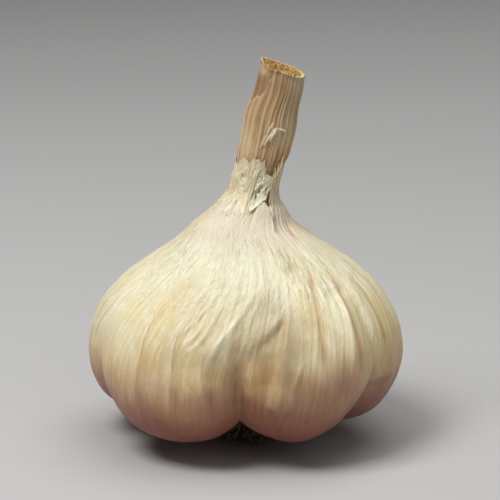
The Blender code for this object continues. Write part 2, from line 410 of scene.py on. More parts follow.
class Nodes:
    """A node tree that is built socket by socket."""

    def __init__(self, tree: bpy.types.NodeTree) -> None:
        """Keeps the tree's nodes and links."""
        self.nodes = tree.nodes
        self.links = tree.links

    def plug(self, socket: Socket, value: object) -> None:
        """Fills a socket.

        Args:
            socket: The socket.
            value: What is linked to it, its plain value, or None to leave it as it is.
        """
        if isinstance(value, Socket):
            self.links.new(value, socket)
        elif isinstance(value, tuple) and len(value) == 3 and socket.type == "RGBA":
            socket.default_value = (*value, 1.0)
        elif value is not None:
            socket.default_value = value

    def add(self, kind: str, *values: object, output: str = "", named: dict | None = None,
            **settings: object) -> Socket:
        """Adds a node.

        Args:
            kind: Its type.
            *values: What goes into its enabled inputs, in order.
            output: Which output is returned; the first enabled one if this is empty.
            named: What goes into its inputs by name.
            **settings: Its properties.

        Returns:
            The output socket.
        """
        node = self.nodes.new(kind)
        for key, value in settings.items():
            setattr(node, key, value)
        for socket, value in zip([s for s in node.inputs if s.enabled], values):
            self.plug(socket, value)
        for key, value in (named or {}).items():
            self.plug(node.inputs[key], value)
        return node.outputs[output] if output else next(s for s in node.outputs if s.enabled)

    def math(self, operation: str, *values: object) -> Socket:
        """A Math node's result."""
        return self.add("ShaderNodeMath", *values, operation=operation)

    def times(self, a: object, b: object) -> Socket:
        """The product of two numbers."""
        return self.math("MULTIPLY", a, b)


class Shape(Nodes):
    """A Geometry Nodes tree with named inputs."""

    def __init__(self, name: str, inputs: Sequence[tuple[str, str, object]]) -> None:
        """Starts the tree.

        Args:
            name: Name of the tree.
            inputs: Name, socket type and default of each input after the geometry.
        """
        self.tree = bpy.data.node_groups.new(name, "GeometryNodeTree")
        super().__init__(self.tree)
        face = self.tree.interface
        face.new_socket("Geometry", in_out="INPUT", socket_type="NodeSocketGeometry")
        self.identifiers: dict[str, str] = {}
        for label, kind, default in inputs:
            socket = face.new_socket(label, in_out="INPUT", socket_type=kind)
            if default is not None:
                socket.default_value = default
            self.identifiers[label] = socket.identifier
        face.new_socket("Geometry", in_out="OUTPUT", socket_type="NodeSocketGeometry")
        self.given = self.nodes.new("NodeGroupInput")
        self.made = self.nodes.new("NodeGroupOutput")

    def input(self, label: str) -> Socket:
        """The socket of a named input."""
        return self.given.outputs[label]

    def number(self, name: str) -> Socket:
        """A stored number of each point."""
        return self.add("GeometryNodeInputNamedAttribute", name, data_type="FLOAT")

    def finish(self, geometry: Socket) -> None:
        """Ends the tree with real geometry in the given material.

        Args:
            geometry: What the tree has made.
        """
        smooth = self.add("GeometryNodeSetShadeSmooth", geometry)
        real = self.add("GeometryNodeRealizeInstances", smooth)
        dressed = self.add("GeometryNodeSetMaterial", real, None, self.input("Material"))
        self.links.new(dressed, self.made.inputs[0])

    def apply(self, piece: Object, **values: object) -> None:
        """Runs the tree on a piece and keeps the result as a plain mesh.

        Args:
            piece: The piece.
            **values: The inputs, with _ for each space in their names.
        """
        modifier = piece.modifiers.new(self.tree.name, "NODES")
        modifier.node_group = self.tree
        for key, value in values.items():
            modifier[self.identifiers[key.replace("_", " ")]] = value
        bake_modifiers(piece)


def rib_relief() -> Shape:
    """Ribs that run along a skin, where its points store a turn, a run in mm and a strength for the ribs.

    Returns:
        A tree with inputs Mark, Count, Height, Wander, Seed and Material. Mark names the attribute that it
        stores with each point: 0 on a crest and up to 1 in a groove.
    """
    shape = Shape("rib relief", (
        ("Mark", "NodeSocketString", "groove"),
        ("Count", "NodeSocketFloat", 120.0),
        ("Height", "NodeSocketFloat", 0.0001),
        ("Wander", "NodeSocketFloat", 1.0),
        ("Seed", "NodeSocketInt", 0),
        ("Material", "NodeSocketMaterial", None),
    ))
    round_turn = shape.times(shape.number("turn"), TAU)
    east = shape.times(shape.math("SINE", round_turn), 2.5)
    north = shape.times(shape.math("COSINE", round_turn), 2.5)
    along = shape.math("ADD", shape.times(shape.number("run"), 0.02), shape.input("Seed"))
    place = shape.add("ShaderNodeCombineXYZ", east, north, along)
    noise = shape.add("ShaderNodeTexNoise", place, 1.0, 2.0)
    drift = shape.times(shape.math("SUBTRACT", noise, 0.5), shape.input("Wander"))
    phase = shape.math("ADD", shape.times(shape.number("turn"), shape.input("Count")), drift)
    wave = shape.math("COSINE", shape.times(phase, TAU))
    groove = shape.math("MULTIPLY_ADD", wave, -0.5, 0.5)
    rib = shape.math("FLOOR", shape.math("ADD", phase, 0.5))
    own = shape.add("FunctionNodeRandomValue", 0.25, 1.0, rib, shape.input("Seed"), data_type="FLOAT")
    depth = shape.times(shape.times(groove, own), shape.number("ribs"))
    sink = shape.times(shape.times(depth, shape.input("Height")), -1.0)
    normal = shape.add("GeometryNodeInputNormal")
    offset = shape.add("ShaderNodeVectorMath", normal, sink, operation="SCALE")
    marked = shape.add("GeometryNodeStoreNamedAttribute", shape.input("Geometry"), None, shape.input("Mark"),
                       depth, data_type="FLOAT", domain="POINT")
    moved = shape.add("GeometryNodeSetPosition", marked, None, None, offset)
    shape.finish(moved)
    return shape


def strand_tube() -> Shape:
    """Round strands along the edges of a piece, whose points store their own thickness.

    Returns:
        A tree with inputs Radius, Sides, Curl, Curl Size, Seed and Material.
    """
    shape = Shape("strand tube", (
        ("Radius", "NodeSocketFloat", 0.0002),
        ("Sides", "NodeSocketInt", 5),
        ("Curl", "NodeSocketFloat", 0.001),
        ("Curl Size", "NodeSocketFloat", 400.0),
        ("Seed", "NodeSocketInt", 0),
        ("Material", "NodeSocketMaterial", None),
    ))
    place = shape.add("GeometryNodeInputPosition")
    spread = shape.add("ShaderNodeVectorMath", place, shape.input("Curl Size"), operation="SCALE")
    own = shape.add("ShaderNodeCombineXYZ", shape.input("Seed"))
    shifted = shape.add("ShaderNodeVectorMath", spread, own, operation="ADD")
    noise = shape.add("ShaderNodeTexNoise", shifted, 1.0, output="Color")
    centred = shape.add("ShaderNodeVectorMath", noise, (0.5, 0.5, 0.5), operation="SUBTRACT")
    freedom = shape.times(shape.number("freedom"), shape.input("Curl"))
    offset = shape.add("ShaderNodeVectorMath", centred, freedom, operation="SCALE")
    curled = shape.add("GeometryNodeSetPosition", shape.input("Geometry"), None, None, offset)
    curve = shape.add("GeometryNodeMeshToCurve", curled)
    size = shape.times(shape.number("thickness"), shape.input("Radius"))
    profile = shape.add("GeometryNodeCurvePrimitiveCircle", shape.input("Sides"), 1.0)
    tube = shape.add("GeometryNodeCurveToMesh", curve, profile, size, True)
    shape.finish(tube)
    return shape


# ---- finishes


class Sheet(Nodes):
    """Shader nodes of one material."""

    def __init__(self, name: str) -> None:
        """Starts a material with a Principled BSDF.

        Args:
            name: Name of the material.
        """
        self.material = bpy.data.materials.new(name)
        self.material.use_nodes = True
        super().__init__(self.material.node_tree)
        self.shader = self.nodes["Principled BSDF"]

    def set(self, **values: object) -> None:
        """Fills the shader's sockets, with _ for each space in their names."""
        for key, value in values.items():
            self.plug(self.shader.inputs[key.replace("_", " ")], value)

    def number(self, name: str) -> Socket:
        """A number stored with the piece's points."""
        return self.add("ShaderNodeAttribute", output="Fac", attribute_name=name)

    def place(self) -> Socket:
        """The point in the part's own frame."""
        return self.add("ShaderNodeTexCoord", output="Object")

    def grain(self, stretch: float) -> Socket:
        """The stored place in the grain, with the way along it multiplied by a stretch."""
        stored = self.add("ShaderNodeAttribute", output="Vector", attribute_name="grain")
        return self.add("ShaderNodeMapping", named={"Vector": stored, "Scale": (1.0, 1.0, stretch)})

    def noise(self, vector: Socket, scale: float, detail: float = 2.0, rough: float = 0.5,
              distort: float = 0.0) -> Socket:
        """Noise from 0 to 1, mostly near its middle.

        Args:
            vector: Where it is read.
            scale: How fine it is.
            detail: How many finer layers it has.
            rough: How strong the finer layers are.
            distort: How far it is bent.

        Returns:
            The noise.
        """
        values = {"Scale": scale, "Detail": detail, "Roughness": rough, "Distortion": distort}
        return self.add("ShaderNodeTexNoise", vector, named=values)

    def grained(self, stretch: float, *settings: float) -> Socket:
        """Noise that runs along the grain: a stretch, and then the noise's own settings."""
        return self.noise(self.grain(stretch), *settings)

    def ramp(self, value: Socket, low: float, high: float) -> Socket:
        """A smooth run from 0 at low to 1 at high."""
        return self.add("ShaderNodeMapRange", value, low, high, interpolation_type="SMOOTHSTEP")

    def mix(self, share: object, a: object, b: object, blend: str = "MIX") -> Socket:
        """The first colour where the share is 0 and the second, or the blend of both, where it is 1."""
        return self.add("ShaderNodeMix", share, a, b, data_type="RGBA", blend_type=blend)

    def paint(self, colour: Socket, *layers: tuple) -> Socket:
        """Lays paints over a colour, one after the other.

        Args:
            colour: The colour below.
            *layers: The share that a paint covers, the most that it may cover or None for all, the paint, and
                how it blends if it isn't plainly laid over.

        Returns:
            The colour with every paint on it.
        """
        for share, most, paint, *blend in layers:
            colour = self.mix(share if most is None else self.times(share, most), colour, paint, *blend)
        return colour

    def bump(self, height: Socket, distance: float, strength: float, under: Socket | None = None) -> Socket:
        """A normal bent by a height, in metres at full height, over an earlier one."""
        values = {"Height": height, "Distance": distance, "Strength": strength, "Normal": under}
        return self.add("ShaderNodeBump", named=values)


@dataclass(frozen=True)
class PaperyFinish:
    """Dry garlic skin: ivory, streaked along its veins and stained in places. Painted shade darkens it
    towards the roots, where it is partly the skin's own pinkish blush, and in its creases, valleys and
    hollows; painted highlights lighten its folds.
    """

    name: str = "papery_skin"
    ivory: Triple = (0.80, 0.73, 0.48)
    straw: Triple = (0.73, 0.61, 0.33)
    olive: Triple = (0.62, 0.60, 0.44)
    lemon: Triple = (0.89, 0.85, 0.59)
    chalk: Triple = (0.92, 0.89, 0.69)
    stain: Triple = (0.72, 0.53, 0.19)
    # A reddish painted shade, with a pinkish painted reflection in it, for the undersides low on the bulb.
    painted_shade_red: Triple = (0.58, 0.28, 0.35)
    # A tan painted shade for the valley under the front tent and other shaded spots.
    dusk: Triple = (0.50, 0.40, 0.30)
    # The colour of the dark marks, which are mostly painted shade in creases, seams and hollows.
    crease: Triple = (0.40, 0.26, 0.13)
    # The next two multiply in painted shade towards the roots and in creases: a golden one and a pinkish one
    # that is partly the skin's own blush.
    gold: Triple = (1.0, 0.88, 0.70)
    blush: Triple = (0.50, 0.29, 0.31)
    butter: Triple = (0.77, 0.66, 0.33)
    vein: Triple = (0.56, 0.38, 0.22)
    sheath: Triple = (0.77, 0.66, 0.49)
    pink: Triple = (0.84, 0.76, 0.60)
    aged: Triple = (0.74, 0.62, 0.41)
    mellow: Triple = (0.93, 0.83, 0.57)
    roughness: Pair = (0.42, 0.62)
    softness: float = 0.16

    def material(self) -> Material:
        """Builds the material.

        Returns:
            The material.
        """
        sheet = Sheet(self.name)
        patches = sheet.grained(0.4, 0.11, 5.0, 0.62, 0.6)
        streaks = sheet.grained(0.05, 0.55, 3.0, 0.6)
        fibres = sheet.grained(0.018, 2.4, 2.0, 0.6)
        mottle = sheet.grained(0.55, 0.8, 4.0, 0.65)
        threads = sheet.grained(0.03, 5.0, 1.0, 0.5)
        specks = sheet.grained(0.10, 2.2, 3.0, 0.7)
        cooler = sheet.noise(sheet.place(), 55.0, 2.0, 0.5)
        milky = sheet.noise(sheet.place(), 150.0, 4.0, 0.6, 0.8)
        crumple, aged = sheet.number("crumple"), sheet.number("aged")
        plain = sheet.math("MULTIPLY_ADD", crumple, -0.8, 1.0)
        broken = sheet.times(sheet.ramp(threads, 0.62, 0.74), sheet.ramp(mottle, 0.45, 0.60))
        spread = sheet.math("MULTIPLY_ADD", sheet.number("ribs"), 0.35, 0.10)
        spots = sheet.math("MULTIPLY_ADD", aged, -0.22, mottle)
        old = sheet.mix(sheet.ramp(spots, 0.30, 0.44), self.aged, self.mellow)
        old = sheet.paint(old, (sheet.ramp(fibres, 0.44, 0.32), 0.35, self.crease))
        ribbed = sheet.mix(sheet.ramp(fibres, 0.40, 0.60), self.sheath, self.pink)
        # low is how much painted shade lies on the skin: towards the roots, where it is partly the skin's own
        # blush, and in creases, beside layer edges and in the front valley.
        low = sheet.math("MULTIPLY_ADD", sheet.ramp(streaks, 0.35, 0.65), -0.09, sheet.number("blush"))
        shade = sheet.math("MULTIPLY_ADD", sheet.ramp(specks, 0.32, 0.68), 0.14, 0.93)
        colour = sheet.paint(
            sheet.mix(sheet.ramp(patches, 0.40, 0.62), self.ivory, self.straw),
            (sheet.ramp(cooler, 0.48, 0.66), 0.45, self.olive),
            (sheet.ramp(milky, 0.50, 0.62), 0.36, self.chalk),
            (sheet.ramp(milky, 0.47, 0.36), 0.5, self.butter),
            (sheet.times(sheet.ramp(streaks, 0.52, 0.70), 0.20), plain, self.straw),
            (sheet.times(sheet.ramp(streaks, 0.46, 0.30), 0.24), plain, self.chalk),
            (sheet.times(sheet.ramp(fibres, 0.56, 0.72), 0.09), plain, self.stain),
            (crumple, 0.55, self.lemon),
            (broken, spread, self.vein),
            (sheet.times(crumple, sheet.ramp(mottle, 0.40, 0.60)), 0.65, self.chalk),
            (sheet.times(crumple, sheet.ramp(mottle, 0.60, 0.72)), 0.5, self.straw),
            (sheet.times(sheet.number("stain"), sheet.ramp(mottle, 0.30, 0.62)), 0.75, self.stain),
            (sheet.ramp(aged, 0.0, 0.6), None, old),
            (sheet.number("bare"), 0.8, ribbed),
            # Pale marks: the skin's own chalky white, with painted highlights and painted light.
            (sheet.number("pale"), 0.85, self.chalk),
            # Painted shade, multiplied in: golden and pinkish where low is high, tan in the front valley and
            # reddish on the undersides.
            (sheet.ramp(low, 0.0, 0.5), None, self.gold, "MULTIPLY"),
            (sheet.ramp(low, 0.10, 1.04), None, self.blush, "MULTIPLY"),
            (sheet.number("dusk"), 0.9, self.dusk, "MULTIPLY"),
            (sheet.number("shade"), 0.95, self.painted_shade_red, "MULTIPLY"),
            (sheet.times(sheet.number("groove"), 0.24), plain, self.vein),
            # Dark marks: mostly painted shade in creases, seams, hollows and beside folds, with some of the
            # skin's own dark cracks.
            (sheet.number("dark"), 0.8, self.crease),
            (1.0, None, sheet.add("ShaderNodeCombineColor", shade, shade, shade), "MULTIPLY"),
        )
        rough = sheet.add("ShaderNodeMapRange", mottle, 0.3, 0.7, *self.roughness)
        sheet.set(Base_Color=colour, Roughness=rough, Specular_IOR_Level=0.45, Sheen_Weight=0.08,
                  Subsurface_Weight=self.softness, Subsurface_Scale=0.0016,
                  Subsurface_Radius=(1.0, 0.85, 0.6), Coat_Weight=0.06, Coat_Roughness=0.35)
        rumpled = sheet.math("MULTIPLY_ADD", crumple, 0.8, 0.28)
        wrinkles = sheet.times(sheet.grained(0.7, 2.0, 4.0, 0.6, 0.4), rumpled)
        normal = None
        for height, distance, strength in (
            (fibres, 0.00012, 0.7), (streaks, 0.0003, 0.5), (wrinkles, 0.0006, 0.8),
            (self._crinkles(sheet), 0.0006, 0.85), (specks, 0.00010, 0.5),
        ):
            normal = sheet.bump(height, distance, strength, normal)
        sheet.set(Normal=normal)
        return sheet.material

    def _crinkles(self, sheet: Sheet) -> Socket:
        """Flat facets with sharp ridges between them, as in crumpled paper, where the skin is crumpled.

        Args:
            sheet: The material that is being built.

        Returns:
            Their height, from 0 to about 1.
        """
        lay = sheet.grain(0.36)
        drift = sheet.add("ShaderNodeTexNoise", lay, 0.30, 2.0, output="Color")
        bent = sheet.add("ShaderNodeVectorMath", drift, (2.6, 2.6, 2.6), lay, operation="MULTIPLY_ADD")
        edges = sheet.add("ShaderNodeTexVoronoi", bent, 0.30, feature="DISTANCE_TO_EDGE")
        small = sheet.add("ShaderNodeTexVoronoi", bent, 0.80, feature="DISTANCE_TO_EDGE")
        facets = sheet.math("MULTIPLY_ADD", sheet.ramp(small, 0.0, 0.35), 0.25, sheet.ramp(edges, 0.0, 0.45))
        where = sheet.ramp(sheet.noise(sheet.place(), 70.0, 2.0, 0.5), 0.42, 0.60)
        return sheet.times(facets, sheet.times(where, sheet.ramp(sheet.number("crumple"), 0.1, 0.9)))


@dataclass(frozen=True)
class StrawFinish:
    """The dry stalk: tan brown, with pale ribs and dark grooves, and a golden cut face."""

    name: str = "dry_stalk"
    tan: Triple = (0.45, 0.268, 0.122)
    pale: Triple = (0.62, 0.430, 0.235)
    brown: Triple = (0.22, 0.12, 0.048)
    cream: Triple = (0.76, 0.65, 0.42)

    def material(self) -> Material:
        """Builds the material.

        Returns:
            The material.
        """
        sheet = Sheet(self.name)
        streaks = sheet.grained(0.05, 2.2, 3.0, 0.6)
        fibres = sheet.grained(0.03, 7.0, 2.0, 0.6)
        mottle = sheet.grained(0.5, 0.9, 4.0, 0.65)
        groove = sheet.number("groove")
        colour = sheet.paint(
            sheet.mix(sheet.ramp(streaks, 0.38, 0.62), self.tan, self.pale),
            (sheet.ramp(mottle, 0.52, 0.68), 0.5, self.brown),
            (sheet.ramp(fibres, 0.58, 0.74), 0.45, self.brown),
            (sheet.ramp(groove, 0.25, 0.0), None, self.pale),
            (sheet.ramp(groove, 0.45, 1.0), 0.7, self.brown),
            (sheet.ramp(sheet.number("line"), 0.35, 1.0), 0.6, self.brown),
            # Pale marks: the stalk's own paler parts, with painted light on its right side and a painted
            # highlight on the outer layer's rim.
            (sheet.number("pale"), 0.85, self.cream),
            # Dark marks: the bruised rim, darker towards the top, and painted shade beside the layer's edge
            # and on the front right of the foot.
            (sheet.number("dark"), 0.8, self.brown),
        )
        sheet.set(Base_Color=colour, Roughness=0.66, Specular_IOR_Level=0.35, Subsurface_Weight=0.06,
                  Subsurface_Scale=0.0008, Sheen_Weight=0.06)
        sheet.set(Normal=sheet.bump(streaks, 0.00025, 0.8, sheet.bump(fibres, 0.00012, 0.8)))
        return sheet.material


@dataclass(frozen=True)
class PithFinish:
    """The cut end of the stalk: golden brown, porous and fibrous."""

    name: str = "cut_pith"
    gold: Triple = (0.34, 0.19, 0.05)
    honey: Triple = (0.56, 0.37, 0.12)
    umber: Triple = (0.16, 0.08, 0.03)

    def material(self) -> Material:
        """Builds the material.

        Returns:
            The material.
        """
        sheet = Sheet(self.name)
        spot = sheet.place()
        pores = sheet.add("ShaderNodeTexVoronoi", spot, 1200.0)
        cells = sheet.noise(spot, 900.0, 3.0, 0.6)
        colour = sheet.paint(
            sheet.mix(sheet.ramp(cells, 0.38, 0.62), self.gold, self.honey),
            (sheet.ramp(pores, 0.50, 0.18), 0.85, self.umber),
            (sheet.number("dark"), 0.85, self.umber),
            (sheet.number("pale"), 0.8, self.honey),
        )
        sheet.set(Base_Color=colour, Roughness=0.85, Specular_IOR_Level=0.25)
        sheet.set(Normal=sheet.bump(cells, 0.0002, 0.8, sheet.bump(pores, 0.0002, 0.9)))
        return sheet.material


@dataclass(frozen=True)
class RootFinish:
    """Dry roots: dark brown, dusty, paler where they rub."""

    name: str = "dry_roots"
    brown: Triple = (0.15, 0.09, 0.045)
    dusty: Triple = (0.34, 0.24, 0.15)

    def material(self) -> Material:
        """Builds the material.

        Returns:
            The material.
        """
        sheet = Sheet(self.name)
        dust = sheet.noise(sheet.place(), 700.0, 4.0, 0.65)
        grain = sheet.noise(sheet.place(), 3200.0, 2.0, 0.6)
        colour = sheet.mix(sheet.ramp(dust, 0.42, 0.66), self.brown, self.dusty)
        sheet.set(Base_Color=colour, Roughness=0.9, Specular_IOR_Level=0.2)
        sheet.set(Normal=sheet.bump(grain, 0.00015, 0.9))
        return sheet.material


@dataclass(frozen=True)
class FloorFinish:
    """A plain pale studio floor."""

    name: str = "pale_floor"
    colour: Triple = (0.46, 0.455, 0.45)

    def material(self) -> Material:
        """Builds the material.

        Returns:
            The material.
        """
        sheet = Sheet(self.name)
        sheet.set(Base_Color=self.colour, Roughness=0.9, Specular_IOR_Level=0.2)
        return sheet.material


# ---- strokes in the skin


class StrokeKind(Enum):
    """What a stroke in the skin is. The later ones are named after the mark that they leave.

    FOLD is raised and CREASE is sunk; a fold carries a painted highlight and a crease painted shade. LAYER is
    the edge of a layer that lies on the stroke's left, seen from outside and above, with a painted highlight
    on its rim and a painted shadow beside it. The later kinds leave marks only: painted highlights and
    patches of painted light, a yellowish stain, a reddish painted shade, a golden painted shade and a tan
    painted shade, in that order.
    """

    FOLD = "fold"
    CREASE = "crease"
    LAYER = "layer"
    PAINTED_LIGHT = "pale"
    STAIN = "stain"
    SHADE = "shade"
    WARM_SHADE = "blush"
    TAN_SHADE = "dusk"


@dataclass(frozen=True)
class Stroke:
    """A fold, crease, layer edge or mark along a path of (angle, height), from the top down.

    Its width is across it and its size is the height or depth, in mm; for a mark the size is its strength.
    """

    kind: StrokeKind
    width: float
    size: float
    path: Pairs


# Marks stored with the skin. Besides its own stains, blush and pale spots, they carry painted shade in
# creases, seams, hollows and low down, and painted highlights on folds.
MARKS = ("dark", "pale", "stain", "bare", "blush", "shade", "crumple", "aged", "dusk")


@dataclass
class SkinGrid:
    """Points on the crest outline in a fine grid: one row for each ring and one column for each angle.

    The skin faces outwards and upwards by out and up.
    """

    angle: Array
    radius: Array
    height: Array
    run: Array
    out: Array
    up: Array
    outline_run: Array
    outline_height: Array
    outline_radius: Array
    depth: Array = field(init=False)
    marks: dict[str, Array] = field(init=False)

    def __post_init__(self) -> None:
        """Starts with a smooth, unmarked skin."""
        shape = np.broadcast(self.angle, self.run).shape
        self.depth = np.zeros(shape)
        self.marks = {name: np.zeros(shape) for name in MARKS}

    def grain(self, seed: int, around: int, length: float, turn: Values = 0.0, run: Values = 0.0) -> Array:
        """Layered grain over the skin.

        Args:
            seed: Its seed.
            around: Its cells round a full turn.
            length: Length of a cell in mm.
            turn: How far it is read to the side, as a share of a full turn.
            run: How far it is read along the skin, in mm.

        Returns:
            Values from about -1 to 1.
        """
        return layered_grain(seed, around, length, self.angle / 360.0 + turn, self.run + run)

    def run_at(self, height: float) -> float:
        """How far along the outline this height is, above the lowest point."""
        return float(np.interp(height, self.outline_height, self.outline_run))

    def offsets(self, path: Pairs) -> tuple[Array, Array]:
        """Measures every point from a path.

        Args:
            path: (angle, height) points.

        Returns:
            The distance in mm, negative on the path's left where it runs down, and the share of the path's
            length at the nearest spot, which passes 0 and 1 beyond its ends.
        """
        middle = sum(a for a, _ in path) / len(path)
        across = np.radians(turned(self.angle, middle)) * np.maximum(self.radius, 3.0)
        knots = []
        for angle, height in smooth_line(path, 4 * len(path)):
            run = self.run_at(height)
            radius = float(np.interp(run, self.outline_run, self.outline_radius))
            knots.append((math.radians(float(turned(angle, middle))) * radius, run))
        best = np.full(self.depth.shape, np.inf)
        share = np.zeros(self.depth.shape)
        count = len(knots) - 1
        for i, ((ax, ay), (bx, by)) in enumerate(zip(knots, knots[1:])):
            dx, dy = bx - ax, by - ay
            length = dx * dx + dy * dy + 1e-12
            along = ((across - ax) * dx + (self.run - ay) * dy) / length
            low = -1.0 if i == 0 else 0.0
            high = 2.0 if i == count - 1 else 1.0
            held = np.clip(along, low, high)
            gap_x, gap_y = across - ax - held * dx, self.run - ay - held * dy
            gap = np.hypot(gap_x, gap_y)
            side = np.sign(dx * gap_y - dy * gap_x)
            nearer = gap < np.abs(best)
            best = np.where(nearer, gap * np.where(side == 0, 1.0, side), best)
            share = np.where(nearer, (i + held) / count, share)
        return best, share

    def draw(self, stroke: Stroke) -> None:
        """Draws one stroke into the skin.

        Args:
            stroke: The stroke.
        """
        gap, share = self.offsets(stroke.path)
        fade = ease(share, -0.04, 0.22) * ease(share, 1.04, 0.78)
        body = bell(gap, stroke.width) * fade
        if stroke.kind is StrokeKind.FOLD:
            self.depth -= stroke.size * body
            # A painted highlight along the fold's crest.
            self.mark("pale", 0.55 * body)
        elif stroke.kind is StrokeKind.CREASE:
            self.depth += stroke.size * np.exp(-np.abs(gap) / stroke.width) * fade
            # Painted shade in the crease.
            self.mark("dark", 0.6 * bell(gap, 0.6 * stroke.width) * fade)
            self.mark("blush", 0.6 * bell(gap, 1.6 * stroke.width) * fade)
        elif stroke.kind is StrokeKind.LAYER:
            raised = np.where(gap < 0.0, np.exp(gap / stroke.width), 0.0) * ease(gap, 0.16, -0.16)
            self.depth -= stroke.size * raised * fade
            # A painted highlight on the raised layer's rim and painted shadow beside its edge.
            self.mark("pale", 0.7 * bell(gap + 0.20, 0.24) * fade)
            self.mark("dark", 0.75 * bell(gap - 0.14, 0.17) * fade)
            self.mark("blush", 0.3 * bell(gap - 1.0, 1.1) * fade)
        else:
            # The later kinds are marks only: stains, painted light and painted shade.
            self.mark(stroke.kind.value, stroke.size * body)

    def mark(self, name: str, strength: Array) -> None:
        """Adds a mark, never past full strength."""
        self.marks[name] = np.maximum(self.marks[name], strength)


# ---- the bulb itself

STALK_LINE = MiddleLine((
    (0.6, 0.0, 43.0), (1.4, 0.1, 49.5), (3.2, 0.3, 56.5), (4.4, 0.6, 62.0),
    (5.2, 0.8, 66.2), (6.6, 1.1, 70.4), (7.3, 1.3, 75.0), (7.8, 1.5, 79.0),
))
STALK_RADII = (4.4, 4.45, 5.15, 5.35, 5.3, 4.9, 4.6, 4.6)


def stalk_radius(height: Array) -> Array:
    """The stalk's radius over its ribs at some heights."""
    line = smooth_line([(z, r) for (_, _, z), r in zip(STALK_LINE.knots, STALK_RADII)], LINE_POINTS)
    return np.interp(height, line[:, 0], line[:, 1])


def neck_radius(height: Array) -> Array:
    """The stalk's radius where torn skin wraps it, which leaves room for that skin."""
    return stalk_radius(height) - 0.45 * ease(height, 58.5, 54.5)


def collar_radius(height: Array) -> Array:
    """The outer skin's radius from the shoulder up to where it hugs the stalk.

    Args:
        height: Heights in mm.

    Returns:
        The radius there.
    """
    crest = smooth_line(Bulb.crest, 400)
    low = int(np.argmin(crest[:, 1]))
    share = ease(height, 46.5, 53.0)
    bare = np.interp(height, crest[low:, 1], crest[low:, 0])
    return bare * (1.0 - share) + (neck_radius(height) + 0.55) * share


def strokes(kind: StrokeKind, *rows: tuple[float, float, Pairs]) -> list[Stroke]:
    """Strokes of one kind, each given by its width, size and path."""
    return [Stroke(kind, *row) for row in rows]


